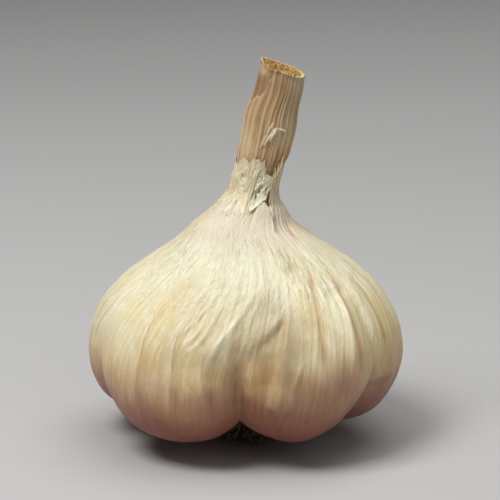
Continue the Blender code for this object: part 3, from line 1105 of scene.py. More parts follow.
FRONT_STROKES = (
    # Folds carry a painted highlight along their crests.
    *strokes(
        StrokeKind.FOLD,
        (0.65, 0.62, ((5.0, 35.1), (0.0, 32.8), (-3.6, 30.5), (-7.8, 28.1), (-11.5, 25.5), (-15.5, 20.5))),
        (0.45, 0.32, ((-9.0, 29.8), (-10.5, 28.5), (-12.9, 26.4), (-15.3, 24.0))),
        (0.40, 0.30, ((6.2, 34.2), (2.8, 31.6), (1.2, 29.4), (0.0, 27.4), (-1.5, 25.6))),
        (0.35, 0.34, ((-15.0, 30.4), (-19.0, 27.8), (-23.4, 25.6))),
        (0.30, 0.30, ((-14.2, 28.4), (-17.4, 26.6), (-21.5, 24.6))),
        (0.30, 0.28, ((-17.0, 32.4), (-21.0, 29.6), (-25.6, 27.6))),
        (0.30, 0.30, ((-10.0, 33.0), (-13.6, 29.8), (-16.2, 26.6))),
        (0.30, 0.26, ((-13.0, 35.0), (-17.4, 32.2), (-20.6, 29.6))),
        (0.28, 0.24, ((-8.0, 36.0), (-12.0, 33.2), (-15.0, 31.0))),
        (0.28, 0.22, ((-19.0, 36.0), (-22.6, 33.4), (-25.4, 31.0))),
        (0.42, 0.42, ((11.8, 24.0), (10.6, 21.2), (9.0, 17.5), (7.9, 13.6), (7.4, 11.6))),
        (0.55, 0.24, ((20.0, 23.4), (17.9, 20.8), (16.2, 18.6), (15.6, 16.4), (15.8, 14.2))),
        (0.35, 0.16, ((26.5, 19.5), (25.0, 16.0), (23.6, 12.0), (22.6, 8.5))),
        (0.40, 0.20, ((56.0, 19.6), (58.0, 17.6), (60.0, 15.8))),
        (0.35, 0.18, ((61.0, 20.2), (62.5, 18.0), (64.5, 16.2))),
        (0.35, 0.18, ((66.0, 20.6), (67.5, 18.6), (68.5, 16.8))),
        (0.30, 0.14, ((58.0, 52.0), (52.0, 47.0), (46.5, 43.5), (44.0, 40.5))),
        (0.30, 0.16, ((66.0, 52.0), (60.0, 47.0), (52.0, 43.2), (48.0, 40.0))),
        (0.30, 0.14, ((76.0, 52.0), (70.0, 47.5), (60.0, 43.5), (53.0, 40.5))),
        (0.35, 0.18, ((88.0, 52.0), (82.0, 48.0), (71.0, 44.5), (62.0, 42.0))),
        (0.30, 0.14, ((100.0, 52.0), (94.0, 49.0), (84.0, 46.0), (74.0, 44.0))),
        (0.90, 0.20, ((50.0, 36.0), (45.6, 32.0), (41.6, 26.5), (39.6, 20.0))),
        (0.90, 0.20, ((62.0, 36.4), (59.6, 33.0), (57.6, 28.9), (56.0, 23.0))),
        (2.4, 0.85, ((44.0, 33.0), (43.0, 27.0), (43.5, 21.0), (45.0, 15.0))),
    ),
    # Creases carry painted shade along them.
    *strokes(
        StrokeKind.CREASE,
        (0.9, 0.7, ((-2.0, 25.5), (-3.4, 23.0), (-4.4, 19.5), (-3.8, 15.0), (-3.2, 11.0), (-2.8, 6.5))),
        (0.80, 0.22, ((39.0, 38.5), (37.5, 36.7), (33.3, 33.8), (29.3, 27.3), (27.5, 20.0))),
        (0.90, 0.24, ((54.0, 37.5), (52.0, 35.5), (47.6, 31.8), (44.2, 26.3), (42.4, 18.0))),
        (0.90, 0.24, ((66.0, 36.0), (65.5, 33.1), (64.1, 28.9), (61.9, 22.0))),
        (0.55, 0.30, ((52.0, 14.0), (57.0, 14.8), (63.0, 14.8), (70.0, 15.6))),
        (0.55, 0.40, ((70.0, 45.2), (66.0, 44.2), (59.0, 42.9), (57.0, 41.2))),
    ),
    # Layer edges carry a painted highlight on the upper layer's rim and a painted shadow beside it.
    *strokes(
        StrokeKind.LAYER,
        (1.2, 0.19, ((-21.0, 33.5), (-22.9, 30.1), (-26.1, 27.0), (-27.3, 22.0), (-27.5, 16.9),
         (-27.2, 11.5))),
        (1.4, 0.19, ((-34.5, 36.0), (-37.0, 32.7), (-39.5, 28.0), (-40.6, 20.0), (-41.4, 14.1),
         (-40.0, 8.0))),
        (1.0, 0.12, ((-15.5, 25.0), (-16.2, 21.0), (-15.6, 17.5), (-14.4, 13.0))),
    ),
    # Painted highlights on ridges and layer edges, and paler patches, mostly painted light where the skin
    # should look more brightly lit.
    *strokes(
        StrokeKind.PAINTED_LIGHT,
        (0.9, 0.9, ((17.6, 35.6), (18.4, 34.0), (19.4, 32.0))),
        (0.9, 1.0, ((0.0, 32.4), (-4.6, 29.8), (-8.8, 27.2), (-12.6, 24.6))),
        (3.4, 0.60, ((20.0, 20.0), (28.0, 18.5), (36.0, 18.0), (43.0, 18.0))),
        (3.0, 0.45, ((-47.0, 17.0), (-38.0, 17.5), (-30.0, 17.5))),
        (0.55, 0.60, ((-28.2, 24.0), (-28.8, 19.3), (-28.4, 15.0), (-28.0, 10.5))),
        (0.55, 0.60, ((-41.6, 24.0), (-42.0, 19.0), (-42.3, 14.0), (-41.0, 9.0))),
        (0.50, 0.45, ((-16.6, 24.0), (-17.2, 21.0), (-16.6, 17.5), (-15.4, 13.0))),
        (6.5, 0.95, ((-34.0, 58.0), (-36.0, 49.0), (-38.0, 43.0), (-40.0, 37.0))),
        (4.5, 0.80, ((0.0, 54.0), (2.0, 45.0), (2.0, 39.0), (0.0, 34.0))),
        (3.4, 0.55, ((-66.0, 38.0), (-70.0, 31.0), (-70.0, 24.0), (-64.0, 15.0))),
    ),
    *strokes(
        StrokeKind.STAIN,
        (4.2, 0.50, ((-26.0, 35.0), (-31.0, 32.0), (-34.0, 28.0))),
        (2.8, 0.85, ((-30.0, 36.6), (-35.0, 33.6), (-37.5, 30.8), (-41.6, 29.0))),
        (1.9, 0.8, ((-31.0, 33.4), (-31.0, 31.0), (-30.0, 28.0))),
        (2.2, 0.45, ((-44.0, 34.6), (-49.0, 32.0), (-52.0, 29.0))),
        (1.1, 0.6, ((62.0, 22.6), (63.6, 19.4), (65.0, 16.0))),
    ),
    # Reddish painted shade on the undersides of the cloves and along the clefts low down.
    *strokes(
        StrokeKind.SHADE,
        (5.2, 0.68, ((46.0, 5.0), (54.0, 9.0), (63.0, 11.4), (76.0, 12.0), (90.0, 11.0))),
        (2.6, 0.6, ((58.0, 10.0), (66.0, 11.0), (78.0, 11.0))),
        (3.6, 0.74, ((-2.5, 15.5), (0.0, 13.5), (4.0, 10.0), (6.0, 7.0))),
        (5.4, 0.56, ((-17.5, 18.0), (-14.0, 12.0), (-12.0, 7.0))),
        (3.2, 0.70, ((8.0, 11.5), (15.0, 11.5), (22.0, 11.0), (27.0, 10.0))),
    ),
    # Golden painted shade where the skin turns away from the light.
    *strokes(
        StrokeKind.WARM_SHADE,
        (4.6, 0.12, ((-36.0, 19.0), (-24.0, 21.0), (-12.0, 20.0), (-6.0, 17.0))),
        (3.6, 0.45, ((13.0, 22.0), (22.0, 18.5), (34.0, 17.5), (44.0, 19.0))),
        (3.2, 0.40, ((-9.0, 25.0), (-2.0, 25.8), (5.0, 26.0), (12.0, 27.0))),
        (6.0, 0.34, ((58.0, 34.0), (68.0, 30.0), (77.0, 25.0), (80.0, 18.0))),
    ),
    # Tan painted shade in the valley under the front tent and its ledge, in the front cleft, in the dent
    # beside the neck and across the middle of the front.
    *strokes(
        StrokeKind.TAN_SHADE,
        (3.2, 0.45, ((2.0, 35.0), (9.0, 32.6), (16.0, 31.0), (21.0, 27.0))),
        (2.4, 0.50, ((14.5, 30.8), (9.0, 28.6), (4.0, 26.8), (-2.0, 24.0))),
        (2.8, 0.85, ((18.5, 33.0), (16.5, 28.5), (15.0, 25.0), (13.0, 21.5), (11.5, 17.5))),
        (2.6, 0.45, ((3.0, 28.0), (5.0, 25.0), (6.5, 21.0), (6.5, 17.0))),
        (5.0, 0.24, ((-36.0, 29.5), (-20.0, 30.5), (-6.0, 31.5), (14.0, 33.0))),
        (1.0, 0.45, ((33.0, 39.0), (27.0, 38.1), (21.0, 37.4))),
        (1.6, 0.50, ((-3.0, 25.5), (-3.6, 22.0), (-3.4, 18.0), (-3.0, 12.0))),
        (2.4, 0.42, ((-8.5, 31.0), (-11.5, 28.2), (-13.4, 26.0), (-15.5, 22.0))),
        (3.6, 0.30, ((-9.0, 25.0), (-2.0, 25.8), (5.0, 26.0), (10.0, 27.0))),
    ),
)


@dataclass
class Bulb:
    """The cloves in their dry skins, from the root hollow up to the torn collar round the stalk."""

    crest: Pairs = (
        (7.9, 8.3), (11.2, 5.8), (16.4, 4.0), (22.2, 4.4), (27.6, 7.5), (30.7, 13.0), (31.5, 19.2),
        (29.9, 25.8), (26.2, 31.2), (21.2, 35.5), (16.4, 39.0), (12.4, 42.0), (9.3, 44.8), (7.3, 47.4),
        (6.0, 50.8), (5.7, 57.0),
    )
    middle: MiddleLine = MiddleLine((
        (0.0, 0.0, 10.0), (0.4, 0.0, 20.0), (0.1, 0.0, 29.0), (0.5, 0.0, 37.0), (0.3, 0.0, 41.0),
        (-0.3, 0.0, 44.0), (0.6, 0.0, 46.8), (1.5, 0.1, 50.0), (3.2, 0.3, 57.0),
    ))
    cloves: Triples = (
        (-73.0, 0.7, 1.9), (-2.4, 0.7, 0.3), (54.0, 0.8, -0.9), (112.0, 0.95, -0.2), (165.0, 0.85, 0.4),
        (222.0, 1.0, 1.8),
    )
    collar_edge: Pairs = (
        (-180.0, 55.6), (-150.0, 55.4), (-120.0, 54.8), (-90.0, 55.2), (-60.0, 54.8), (-35.0, 55.6),
        (-20.0, 55.0), (-8.0, 54.0), (0.0, 51.6), (6.0, 49.8), (13.0, 48.9), (21.0, 49.2), (28.0, 48.8),
        (35.0, 47.8), (41.0, 48.8),
        (47.0, 53.6), (60.0, 55.8), (85.0, 54.4), (120.0, 56.4), (150.0, 55.0), (180.0, 55.6),
    )
    columns: int = 560
    body_rows: int = 142
    collar_rows: int = 26
    seam_depth: float = 6.6
    seam_top: float = 46.0
    collar_foot: float = 46.0
    outline_points: int = 1200
    twist: float = 10.0
    twist_span: Pair = (18.0, 40.0)
    hollow_span: Pair = (7.9, 15.0)
    socket_foot: float = 45.7
    socket_gap: float = 0.2
    grain_radius: float = 31.0
    veins: float = 124.0
    vein_height: float = 0.08
    seed: int = 5

    def build(self, skin: Material, ribs: Shape) -> Object:
        """Makes the skin.

        Args:
            skin: Its finish.
            ribs: The tree that raises its veins.

        Returns:
            The finished piece.
        """
        grid = self._grid()
        self._sink_tent(grid)
        self._pleat(grid)
        for stroke in FRONT_STROKES:
            grid.draw(stroke)
        self._tear(grid)
        self._tongue(grid)
        self._crumple(grid)
        self._shade_towards_roots(grid)
        points = self._points(grid)
        mesh = ring_mesh("cloves_in_skin", points)
        self._store(mesh, grid, points)
        piece = add_piece("cloves_in_skin", mesh, skin)
        ribs.apply(piece, Mark="groove", Count=self.veins, Height=self.vein_height * MM, Wander=2.2, Seed=3,
                   Material=skin)
        mount(piece, "papery_skin", "bulb")
        return piece

    def _grid(self) -> SkinGrid:
        """Lays the fine grid over the crest outline, and over the ragged collar above it.

        Returns:
            The smooth skin.
        """
        outline = smooth_line(self.crest, self.outline_points)
        length = float(np.linalg.norm(np.diff(outline, axis=0), axis=1).sum())
        run = np.linspace(0.0, 1.0, len(outline)) * length
        slope = np.gradient(outline, axis=0)
        slope /= np.linalg.norm(slope, axis=1)[:, None]
        low, foot = int(np.argmin(outline[:, 1])), int(np.argmax(outline[:, 1] > self.collar_foot))
        rows = np.linspace(0, foot, self.body_rows).round().astype(int)
        angle = np.linspace(0.0, 360.0, self.columns, endpoint=False)[None, :]
        share = np.linspace(0.0, 1.0, self.collar_rows + 1)[1:, None]
        collar = self.collar_foot + (self._collar_height(angle) - self.collar_foot) * share
        fall = (collar_radius(collar - 0.2) - collar_radius(collar + 0.2)) / 0.4
        steep = np.hypot(1.0, fall)

        def joined(body: Array, above: Array) -> Array:
            """The body's rows, alike all round, with the collar's above them."""
            return np.vstack([np.repeat(body[rows][:, None], self.columns, axis=1), above])

        return SkinGrid(
            angle=angle,
            radius=joined(outline[:, 0], collar_radius(collar)),
            height=joined(outline[:, 1], collar),
            run=joined(run, np.interp(collar, outline[foot:, 1], run[foot:])),
            out=joined(slope[:, 1], 1.0 / steep),
            up=joined(-slope[:, 0], fall / steep),
            outline_run=run[low:], outline_height=outline[low:, 1], outline_radius=outline[low:, 0],
        )

    def _collar_height(self, angle: Array) -> Array:
        """The ragged upper edge of the outer skin.

        Args:
            angle: Angles in degrees.

        Returns:
            The height of the edge there.
        """
        height = np.interp(turned(angle, 0.0), *zip(*self.collar_edge))
        ragged = layered_grain(self.seed, 60, 1.0, angle / 360.0, np.zeros_like(angle))
        return height + 0.55 * ragged

    def _cloves(self, grid: SkinGrid) -> tuple[Array, Array]:
        """How deep the skin sinks between the cloves, and how far each clove swells.

        Args:
            grid: The skin.

        Returns:
            The depth and the swell of every point in mm.
        """
        places, shares, swells = np.array(self.cloves).T
        wander = 2.2 * grid.grain(self.seed + 40, 6, 14.0)
        angle = (grid.angle + wander - places[0]) % 360.0 + places[0]
        after = np.searchsorted(places, angle, side="right")
        high = np.append(places, places[0] + 360.0)[after]
        across = (angle - places[after - 1]) / (high - places[after - 1])
        nearest = np.where(across < 0.5, shares[after - 1], np.append(shares, shares[0])[after])
        sharpness = 2.0 + 2.6 * ease(grid.height, 6.0, 34.0)
        groove = np.abs(2.0 * across - 1.0) ** sharpness
        share = np.clip(1.0 - grid.height / self.seam_top, 0.0, 1.0) ** 2
        share = share * ease(grid.radius, *self.hollow_span)
        line = np.exp(-np.minimum(across, 1.0 - across) * (high - places[after - 1]) / 1.6)
        # Painted shade along the seams between the cloves.
        grid.mark("dark", 0.55 * line * share)
        depth = self.seam_depth * nearest * groove + 0.8 * line * nearest
        return depth * share, swells[after - 1] * (1.0 - groove) * share

    def _sink_tent(self, grid: SkinGrid) -> None:
        """Sinks a valley under the skin that is stretched like a tent over the front seam.

        Args:
            grid: The skin.
        """
        angle = turned(grid.angle, 0.0)
        heights = (4.0, 12.0, 20.0, 25.5, 30.5, 35.0, 38.0)
        left = np.interp(grid.height, heights, (-19.0, -15.0, -15.5, -10.8, -3.0, 5.0, 9.0))
        right = np.interp(grid.height, (6.0, 13.6, 17.5, 21.1, 26.0, 29.0, 31.3, 34.0),
                          (17.0, 9.2, 10.2, 11.8, 13.6, 15.8, 18.2, 18.8))
        width = np.maximum(right - left, 2.0)
        across = np.clip((angle - left) / width, 0.0, 1.2)
        rise = np.clip((across - 0.30) / 0.60, 0.0, 1.0)
        valley = ease(across, 0.0, 0.42) * (1.0 - 0.32 * rise) * ease(across, 1.06, 0.90)
        fall = np.interp(grid.height, (0.0, 5.0, 12.0, 18.0, 24.0, 30.0, 34.5),
                         (0.0, 0.2, 0.8, 1.0, 0.85, 0.34, 0.0))
        edge = np.interp(angle, (-4.0, -0.8, 4.5, 9.8, 15.3, 17.7), (24.6, 25.8, 28.2, 29.3, 30.7, 31.4))
        soft = np.interp(angle, (-6.0, 4.0, 12.0, 17.0), (6.0, 3.0, 1.1, 0.6))
        ledge = ease(grid.height, edge, edge - soft) * ease(angle, -7.0, 10.0) * ease(across, 1.0, 0.88)
        ledge = ledge * ease(grid.height, 9.0, 21.0)
        under = bell(angle + 20.0, 15.0, 4) * ease(grid.height, 26.5, 20.5) * ease(grid.height, 8.0, 17.0)
        foot = ease(grid.height, 16.0, 3.2)
        wide = bell(turned(grid.angle, 7.0), 17.0, 4)
        deep = 2.3 * valley * fall + 0.75 * ledge + 0.5 * foot * wide + 0.8 * under * (1.0 - valley)
        # Painted shade in the valley and under the ledge.
        grid.mark("blush", 0.45 * np.maximum(valley * fall, ledge) * ease(grid.height, 14.0, 23.0))
        grid.depth += deep * ease(grid.radius, *self.hollow_span)

    def _pleat(self, grid: SkinGrid) -> None:
        """Lays pleats over the whole skin, each the edge of a fold that lies on its neighbour.

        Args:
            grid: The skin.
        """
        chance = random.Random(self.seed)
        angle = -180.0
        while angle < 176.0:
            low = chance.uniform(7.0, 20.0)
            high = chance.uniform(36.0, 43.0)
            lean = self.twist + chance.uniform(-2.0, 2.0)
            sway = chance.uniform(-1.2, 1.2)
            path = [
                (angle + lean * float(ease(z, *self.twist_span)) + sway * math.sin(z * 0.23), z)
                for z in np.linspace(high, low, 6)
            ]
            side = -1.0 if chance.random() < 0.35 else 1.0
            self._pleat_edge(grid, path, side, chance.uniform(0.07, 0.22), chance.uniform(0.7, 1.9))
            angle += chance.uniform(2.6, 6.0)

    def _pleat_edge(self, grid: SkinGrid, path: Pairs, side: float, size: float, width: float) -> None:
        """Raises the skin beside a path and lets it drop sharply there.

        Args:
            grid: The skin.
            path: (angle, height) points from the top down.
            side: 1 to raise the skin on the path's left, -1 on its right.
            size: Height of the edge in mm.
            width: How wide the raised skin is in mm.
        """
        gap, share = grid.offsets(path)
        gap = gap * side
        fade = ease(share, -0.05, 0.2) * ease(share, 1.05, 0.6)
        crowd = np.clip(grid.radius / 26.0, 0.35, 1.0)
        raised = np.where(gap < 0.0, np.exp(gap / (width * crowd)), 0.0) * ease(gap, 0.2, -0.2)
        grid.depth -= size * crowd * (raised * fade - 0.25 * np.exp(-np.abs(gap) / width) * fade)
        strength = min(1.0, size / 0.24)
        # A painted shadow beside the pleat's drop and a painted highlight on its raised side.
        grid.mark("dark", 0.42 * strength * bell(gap - 0.18, 0.26) * fade)
        grid.mark("pale", 0.5 * strength * bell(gap + 0.25, 0.3) * fade)

    def _tear(self, grid: SkinGrid) -> None:
        """Tears the outer skin beside the neck, so that the pinkish ribbed sheath shows.

        Args:
            grid: The skin.
        """
        ragged = grid.grain(self.seed + 7, 70, 1.6)
        left = np.interp(grid.height, (38.4, 39.8, 41.1, 43.6, 46.5, 49.0),
                         (44.0, 39.6, 38.6, 34.6, 40.0, 41.0))
        left = left + 2.2 * ragged
        right = np.interp(grid.height, (38.4, 41.0, 44.0, 47.0, 50.0), (46.0, 53.0, 74.0, 100.0, 118.0))
        soft = np.degrees(0.16 / grid.radius)
        angle = turned(grid.angle, 0.0)
        inside = ease(angle, left - soft, left + soft) * ease(angle, right + 12.0, right - 6.0)
        inside = inside * ease(grid.height, 38.2 + ragged, 41.5 + ragged)
        grid.depth += 0.42 * inside * ease(grid.height, 53.0, 48.0)
        grid.marks["bare"] = inside * ease(grid.height, 56.0, 50.0)
        lip = bell(np.radians(angle - left) * grid.radius + 0.3, 0.32) * ease(grid.height, 39.4, 41.4)
        lip = lip * ease(grid.height, 49.5, 47.5)
        grid.depth -= 0.20 * lip
        grid.mark("pale", 0.45 * lip)

    def _tongue(self, grid: SkinGrid) -> None:
        """Lifts the rounded white tip of the front wrapper, which ends in the gap of the collar.

        Args:
            grid: The skin.
        """
        angle = turned(grid.angle, 21.0 + 0.5 * np.maximum(44.0 - grid.height, 0.0))
        reach = np.hypot(angle / 15.0, np.maximum(grid.height - 44.5, 0.0) / 4.9)
        body = ease(reach, 1.05, 0.86) * ease(grid.height, 37.5, 43.5)
        wrinkles = np.cos(np.radians(angle) * 42.0 + 0.8 * np.sin(grid.height * 0.9))
        grid.depth -= (0.42 + 0.03 * wrinkles) * body
        grid.mark("pale", 0.9 * body * ease(grid.height, 39.0, 44.0))
        # Painted shade along the tongue's edge.
        side = bell(reach - 1.05, 0.08) * ease(grid.height, 43.0, 46.5)
        grid.mark("dark", 0.35 * side)

    def _crumple(self, grid: SkinGrid) -> None:
        """Crumples the skin finely at the shoulder and waves it gently everywhere.

        Args:
            grid: The skin.
        """
        front = bell(turned(grid.angle, -14.0), 48.0)
        share = ease(grid.height, 27.0, 36.0) * (0.35 + 0.65 * front) * (1.0 - grid.marks["bare"])
        grid.marks["crumple"] = share * (1.0 - 0.6 * ease(grid.height, 40.0, 46.0))
        above = ease(grid.height, 3.5, 12.0) * ease(grid.radius, 8.5, 14.0)
        waves = grid.grain(self.seed + 11, 44, 12.0)
        shift = grid.grain(self.seed + 13, 26, 7.0)
        bend = grid.grain(self.seed + 15, 34, 5.0)
        fine = grid.grain(self.seed + 17, 170, 1.7, 0.016 * shift, 3.0 * bend)
        folded = grid.grain(self.seed + 23, 110, 4.2, 0.022 * bend, 4.0 * shift)
        ridged = 1.0 - 2.4 * np.sqrt(folded**2 + 0.01)
        thin = np.clip(grid.radius / 20.0, 0.3, 1.0)
        grid.depth += (0.20 * waves + 0.025 * fine) * above * thin
        grid.depth += (0.07 * fine - 0.26 * ridged) * share * thin
        patch = np.hypot(turned(grid.angle, -19.0) / 9.0, (grid.height - 28.0) / 5.0)
        grid.depth -= 0.12 * ridged * bell(patch, 1.0)
        neck = ease(grid.height, 46.0, 50.0)
        strips = grid.grain(self.seed + 29, 90, 5.0)
        crumbs = grid.grain(self.seed + 37, 90, 0.9)
        grid.depth += (0.10 * strips + 0.10 * crumbs) * neck
        grid.mark("dark", 0.3 * ease(strips, 0.4, 0.8) * neck)
        grid.marks["aged"] = 0.75 * ease(grid.height + 2.0 * strips, 48.0, 57.0)

    def _shade_towards_roots(self, grid: SkinGrid) -> None:
        """Darkens the skin towards the roots with painted shade: a golden and pinkish painted shade over the
        lower half, partly the skin's own blush, a reddish painted shade below it and painted shade in the
        root hollow.

        Args:
            grid: The skin.
        """
        patchy = grid.grain(self.seed + 31, 30, 9.0)
        low = ease(grid.height + 2.0 * patchy, 31.5, 6.0)
        grid.marks["blush"] = np.clip(0.6 * grid.marks["blush"] + low, 0.0, 1.0)
        # Reddish painted shade low down and round the narrow foot.
        underside = ease(grid.height + 1.2 * patchy, 16.5, 6.5)
        grid.mark("shade", 0.80 * underside + 0.2 * ease(grid.radius, 17.0, 10.0))
        # Painted shade in the root hollow.
        hollow = ease(grid.radius, 11.5, 8.0) * ease(grid.height, 20.0, 10.0)
        grid.mark("dark", 0.7 * hollow)

    def _points(self, grid: SkinGrid) -> Array:
        """Places every ring, from the root hollow to the bottom of the stalk's socket.

        Args:
            grid: The skin.

        Returns:
            Rings, points and coordinates in mm.
        """
        sunk, swell = self._cloves(grid)
        depth = grid.depth + sunk
        height = grid.height - depth * grid.up
        radius = grid.radius + swell - depth * grid.out
        inner = neck_radius(height) + self.socket_gap
        lip = ease(np.linspace(0.0, 1.0, self.collar_rows)[:, None], 0.55, 1.0)
        radius[-self.collar_rows:] -= 0.25 * lip
        radius = np.maximum(radius, np.where(grid.height > 45.0, inner + 0.1, 0.0))
        rings = [self._place(self.middle, grid.angle, radius, height)]
        top, rim = height[-1:], radius[-1:]
        for drop, inset in ((0.0, 0.14), (1.2, 0.45)):
            wall = np.maximum(rim - inset, neck_radius(top - drop) + 0.21)
            rings.append(self._place(self.middle, grid.angle, wall, top - drop))
        for level in (top - 2.0, np.full_like(top, self.socket_foot)):
            rings.append(self._place(STALK_LINE, grid.angle, neck_radius(level) + self.socket_gap, level))
        return np.vstack(rings)

    def _place(self, line: MiddleLine, angle: Array, radius: Array, height: Array) -> Array:
        """Points at these angles, radii and heights round a middle line."""
        return wrapped(*line.at(height), radius, np.radians(angle), height)

    def _store(self, mesh: Mesh, grid: SkinGrid, points: Array) -> None:
        """Stores the marks, the grain's direction and the ribs' strength with the mesh.

        Args:
            mesh: The mesh.
            grid: The skin.
            points: Its rings of points.
        """
        below = points.shape[0] - grid.depth.shape[0]
        shape = points.shape[:2]

        def full(values: Array, last: Values) -> Array:
            """The values with rows of the last one added for the socket's wall."""
            return np.vstack([values, np.broadcast_to(last, (below, self.columns))])

        # The socket's wall gets painted shade: 0.6 of the dark mark.
        marks = {name: full(values, 0.6 * (name == "dark")) for name, values in grid.marks.items()}
        run = full(grid.run, grid.run[-1:])
        straight = grid.angle - self.twist * ease(full(grid.height, grid.height[-1:]), *self.twist_span)
        ribs = ease(grid.height, 7.0, 16.0) * (1.0 - 0.85 * ease(grid.height, 33.0, 42.0))
        store_marks(mesh, shape, ribs=full(ribs, 0.0), **marks)
        store_grain(mesh, self.grain_radius, np.radians(straight), run)
        store(mesh, "turn", (straight / 360.0) % 1.0)
        store(mesh, "run", run)


# ---- the stalk


@dataclass
class Stalk:
    """The dry stalk: a ribbed sheath, cut at a slant, round a golden pith of rolled leaves.

    Its ribs and the veins between them are each given by how many there are and how high they are in mm.
    """

    foot: float = 46.0
    cut_height: float = 75.2
    cut_tilt: float = 23.0
    columns: int = 312
    rows: int = 120
    layer_edge: Pairs = (
        (-180.0, 90.0), (-128.0, 80.0), (-112.0, 68.6), (-90.0, 67.4), (-55.0, 67.9), (-38.0, 69.0),
        (-26.0, 73.0), (-16.0, 82.0), (180.0, 90.0),
    )
    oval: float = 0.94
    rim: float = 0.45
    sink: float = 0.35
    face_rings: int = 34
    grain_radius: float = 5.2
    ribs: Pair = (19.0, 0.13)
    veins: Pair = (44.0, 0.17)
    seed: int = 12

    def build(self, straw: Material, pith: Material, ribs: Shape) -> Object:
        """Makes the stalk.

        Args:
            straw: The sheath's finish.
            pith: The cut face's finish.
            ribs: The tree that raises its ribs.

        Returns:
            The finished piece.
        """
        turn = np.linspace(0.0, 1.0, self.columns, endpoint=False)[None, :]
        level = np.linspace(0.0, 1.0, self.rows)[:, None]
        sheath = self._sheath(turn, level)
        face = self._cut_face(turn)
        points = np.vstack([sheath.pop("points"), face.pop("points")])
        shape = points.shape[:2]
        mesh = ring_mesh("stalk_in_sheath", points)
        parts = ((sheath, (self.rows, self.columns)), (face, (shape[0] - self.rows, self.columns)))
        for name in sheath:
            rows = [np.broadcast_to(part[name], size) for part, size in parts]
            store_marks(mesh, shape, **{name: np.vstack(rows)})
        store_grain(mesh, self.grain_radius, turn * TAU, points[..., 2])
        store(mesh, "turn", np.broadcast_to(turn, shape))
        store(mesh, "run", points[..., 2])
        piece = add_piece("stalk_in_sheath", mesh, straw)
        kinds = (("groove", self.ribs, 1.0, 9), ("line", self.veins, 1.2, 4))
        for mark, (count, height), wander, seed in kinds:
            ribs.apply(piece, Mark=mark, Count=count, Height=height * MM, Wander=wander, Seed=seed,
                       Material=straw)
        piece.data.materials.append(pith)
        first = (self.rows + 1) * self.columns
        for polygon in piece.data.polygons:
            polygon.material_index = int(min(polygon.vertices) >= first)
        mount(piece, "dry_stalk", "stalk")
        return piece

    def _ring(self, turn: Array, level: Array, inset: Values,
              sink: Values) -> Array:
        """Points at a share of the way to the tilted cut, moved inwards and down.

        Args:
            turn: Shares of a full turn.
            level: The share of the way from the foot, 0, to the cut, 1.
            inset: How far the points are moved inwards, in mm.
            sink: How far they are moved down, in mm.

        Returns:
            The points, in mm.
        """
        middle = self.foot + (self.cut_height - self.foot) * level
        radius = neck_radius(middle) - inset
        across = radius * np.sin(turn * TAU)
        height = middle - across * math.tan(math.radians(self.cut_tilt)) * level**2 - sink
        points = wrapped(0.0, 0.0, radius, turn * TAU, height)
        x, y = STALK_LINE.at(height)
        return points * (1.0, self.oval, 1.0) + np.stack([x, y, np.zeros_like(x)], axis=-1)

    def _sheath(self, turn: Array, level: Array) -> dict[str, Array]:
        """The outside, with its waves, the edge of an outer layer and the bruised rim, with painted shade and
        painted light on it.

        Args:
            turn: Shares of a full turn.
            level: The share of the way from the foot to the cut, row by row.

        Returns:
            The points in mm and the marks, by name.
        """
        height = self.foot + (self.cut_height - self.foot) * level
        angle = turned(turn * 360.0, 0.0)
        broad = layered_grain(self.seed, 9, 9.0, turn, height)
        ragged = layered_grain(self.seed + 5, 60, 2.0, turn, height)
        edge = np.interp(angle, *zip(*self.layer_edge)) + 0.9 * ragged
        layer = ease(height, edge + 0.12, edge - 0.12)
        inset = 0.16 - 0.20 * broad * ease(height, 50.0, 58.0) - 0.22 * layer
        lip = ease(level, 0.965, 1.0) * (0.10 + 0.18 * ragged)
        points = self._ring(turn, level, inset - lip, 0.0)
        points[-1, :, 2] += 0.25 * ragged[-1]
        points[:, :, 2] -= self._rim_drop(angle) * ease(level, 0.88, 1.0)
        # A painted shadow just above the outer layer's edge and a painted highlight on its rim.
        under, over = bell(height - edge - 0.25, 0.22), bell(height - edge + 0.3, 0.3)
        bruise_and_shade = ease(level, 0.9, 1.0) * ease(ragged, -0.2, 0.5)
        outer = layer * ease(angle, 10.0, -50.0) * ease(height, 70.0, 60.0)
        paler = 0.45 * ease(height, 58.0, 52.0) + 0.32 * outer
        # The right side is painted paler: painted light against the key light from the left.
        right = ease(angle, 5.0, 40.0) * ease(angle, 175.0, 120.0)
        paler = paler + right * (0.44 * ease(height, 58.0, 62.0) + 0.35 * ease(level, 0.80, 0.94))
        panel = (1.0 - layer) * ease(height, 66.0, 68.0)
        lipped = bell(turned(angle, -66.0), 20.0) * ease(level, 0.86, 0.96)
        paler = paler + 0.7 * lipped
        bruise_and_shade = np.maximum(bruise_and_shade, 1.2 * panel) * (1.0 - lipped)
        # The stalk darkens towards the top; shaded is painted shade on the front right of its foot.
        bruise_and_shade = np.maximum(bruise_and_shade, 0.66 * ease(height, 60.0, 70.0) + 0.25 * broad)
        shaded = bell(turned(angle, 34.0), 22.0) * ease(height, 60.0, 56.0)
        bruise_and_shade = np.maximum(bruise_and_shade, 0.4 * shaded)
        return {
            "points": points,
            "ribs": (0.3 + 0.7 * ease(height, 48.0, 58.0)) * ease(1.0 - level, 0.0, 0.02),
            "dark": np.maximum(0.8 * under, 0.75 * bruise_and_shade),
            "pale": np.maximum(0.6 * over, paler),
        }

    def _rim_drop(self, angle: Array) -> Array:
        """How far the rim lies below the plane of the cut: it dips at the front left and rises at the back.

        Args:
            angle: Angles in degrees.

        Returns:
            The drop in mm.
        """
        front = bell(turned(angle, 5.0), 62.0)
        left = bell(turned(angle, -46.0), 24.0)
        peak = bell(turned(angle, -88.0), 18.0)
        back = bell(turned(angle, 135.0), 55.0)
        return 0.4 + 0.45 * front + 0.95 * left - 0.2 * peak - 0.55 * back

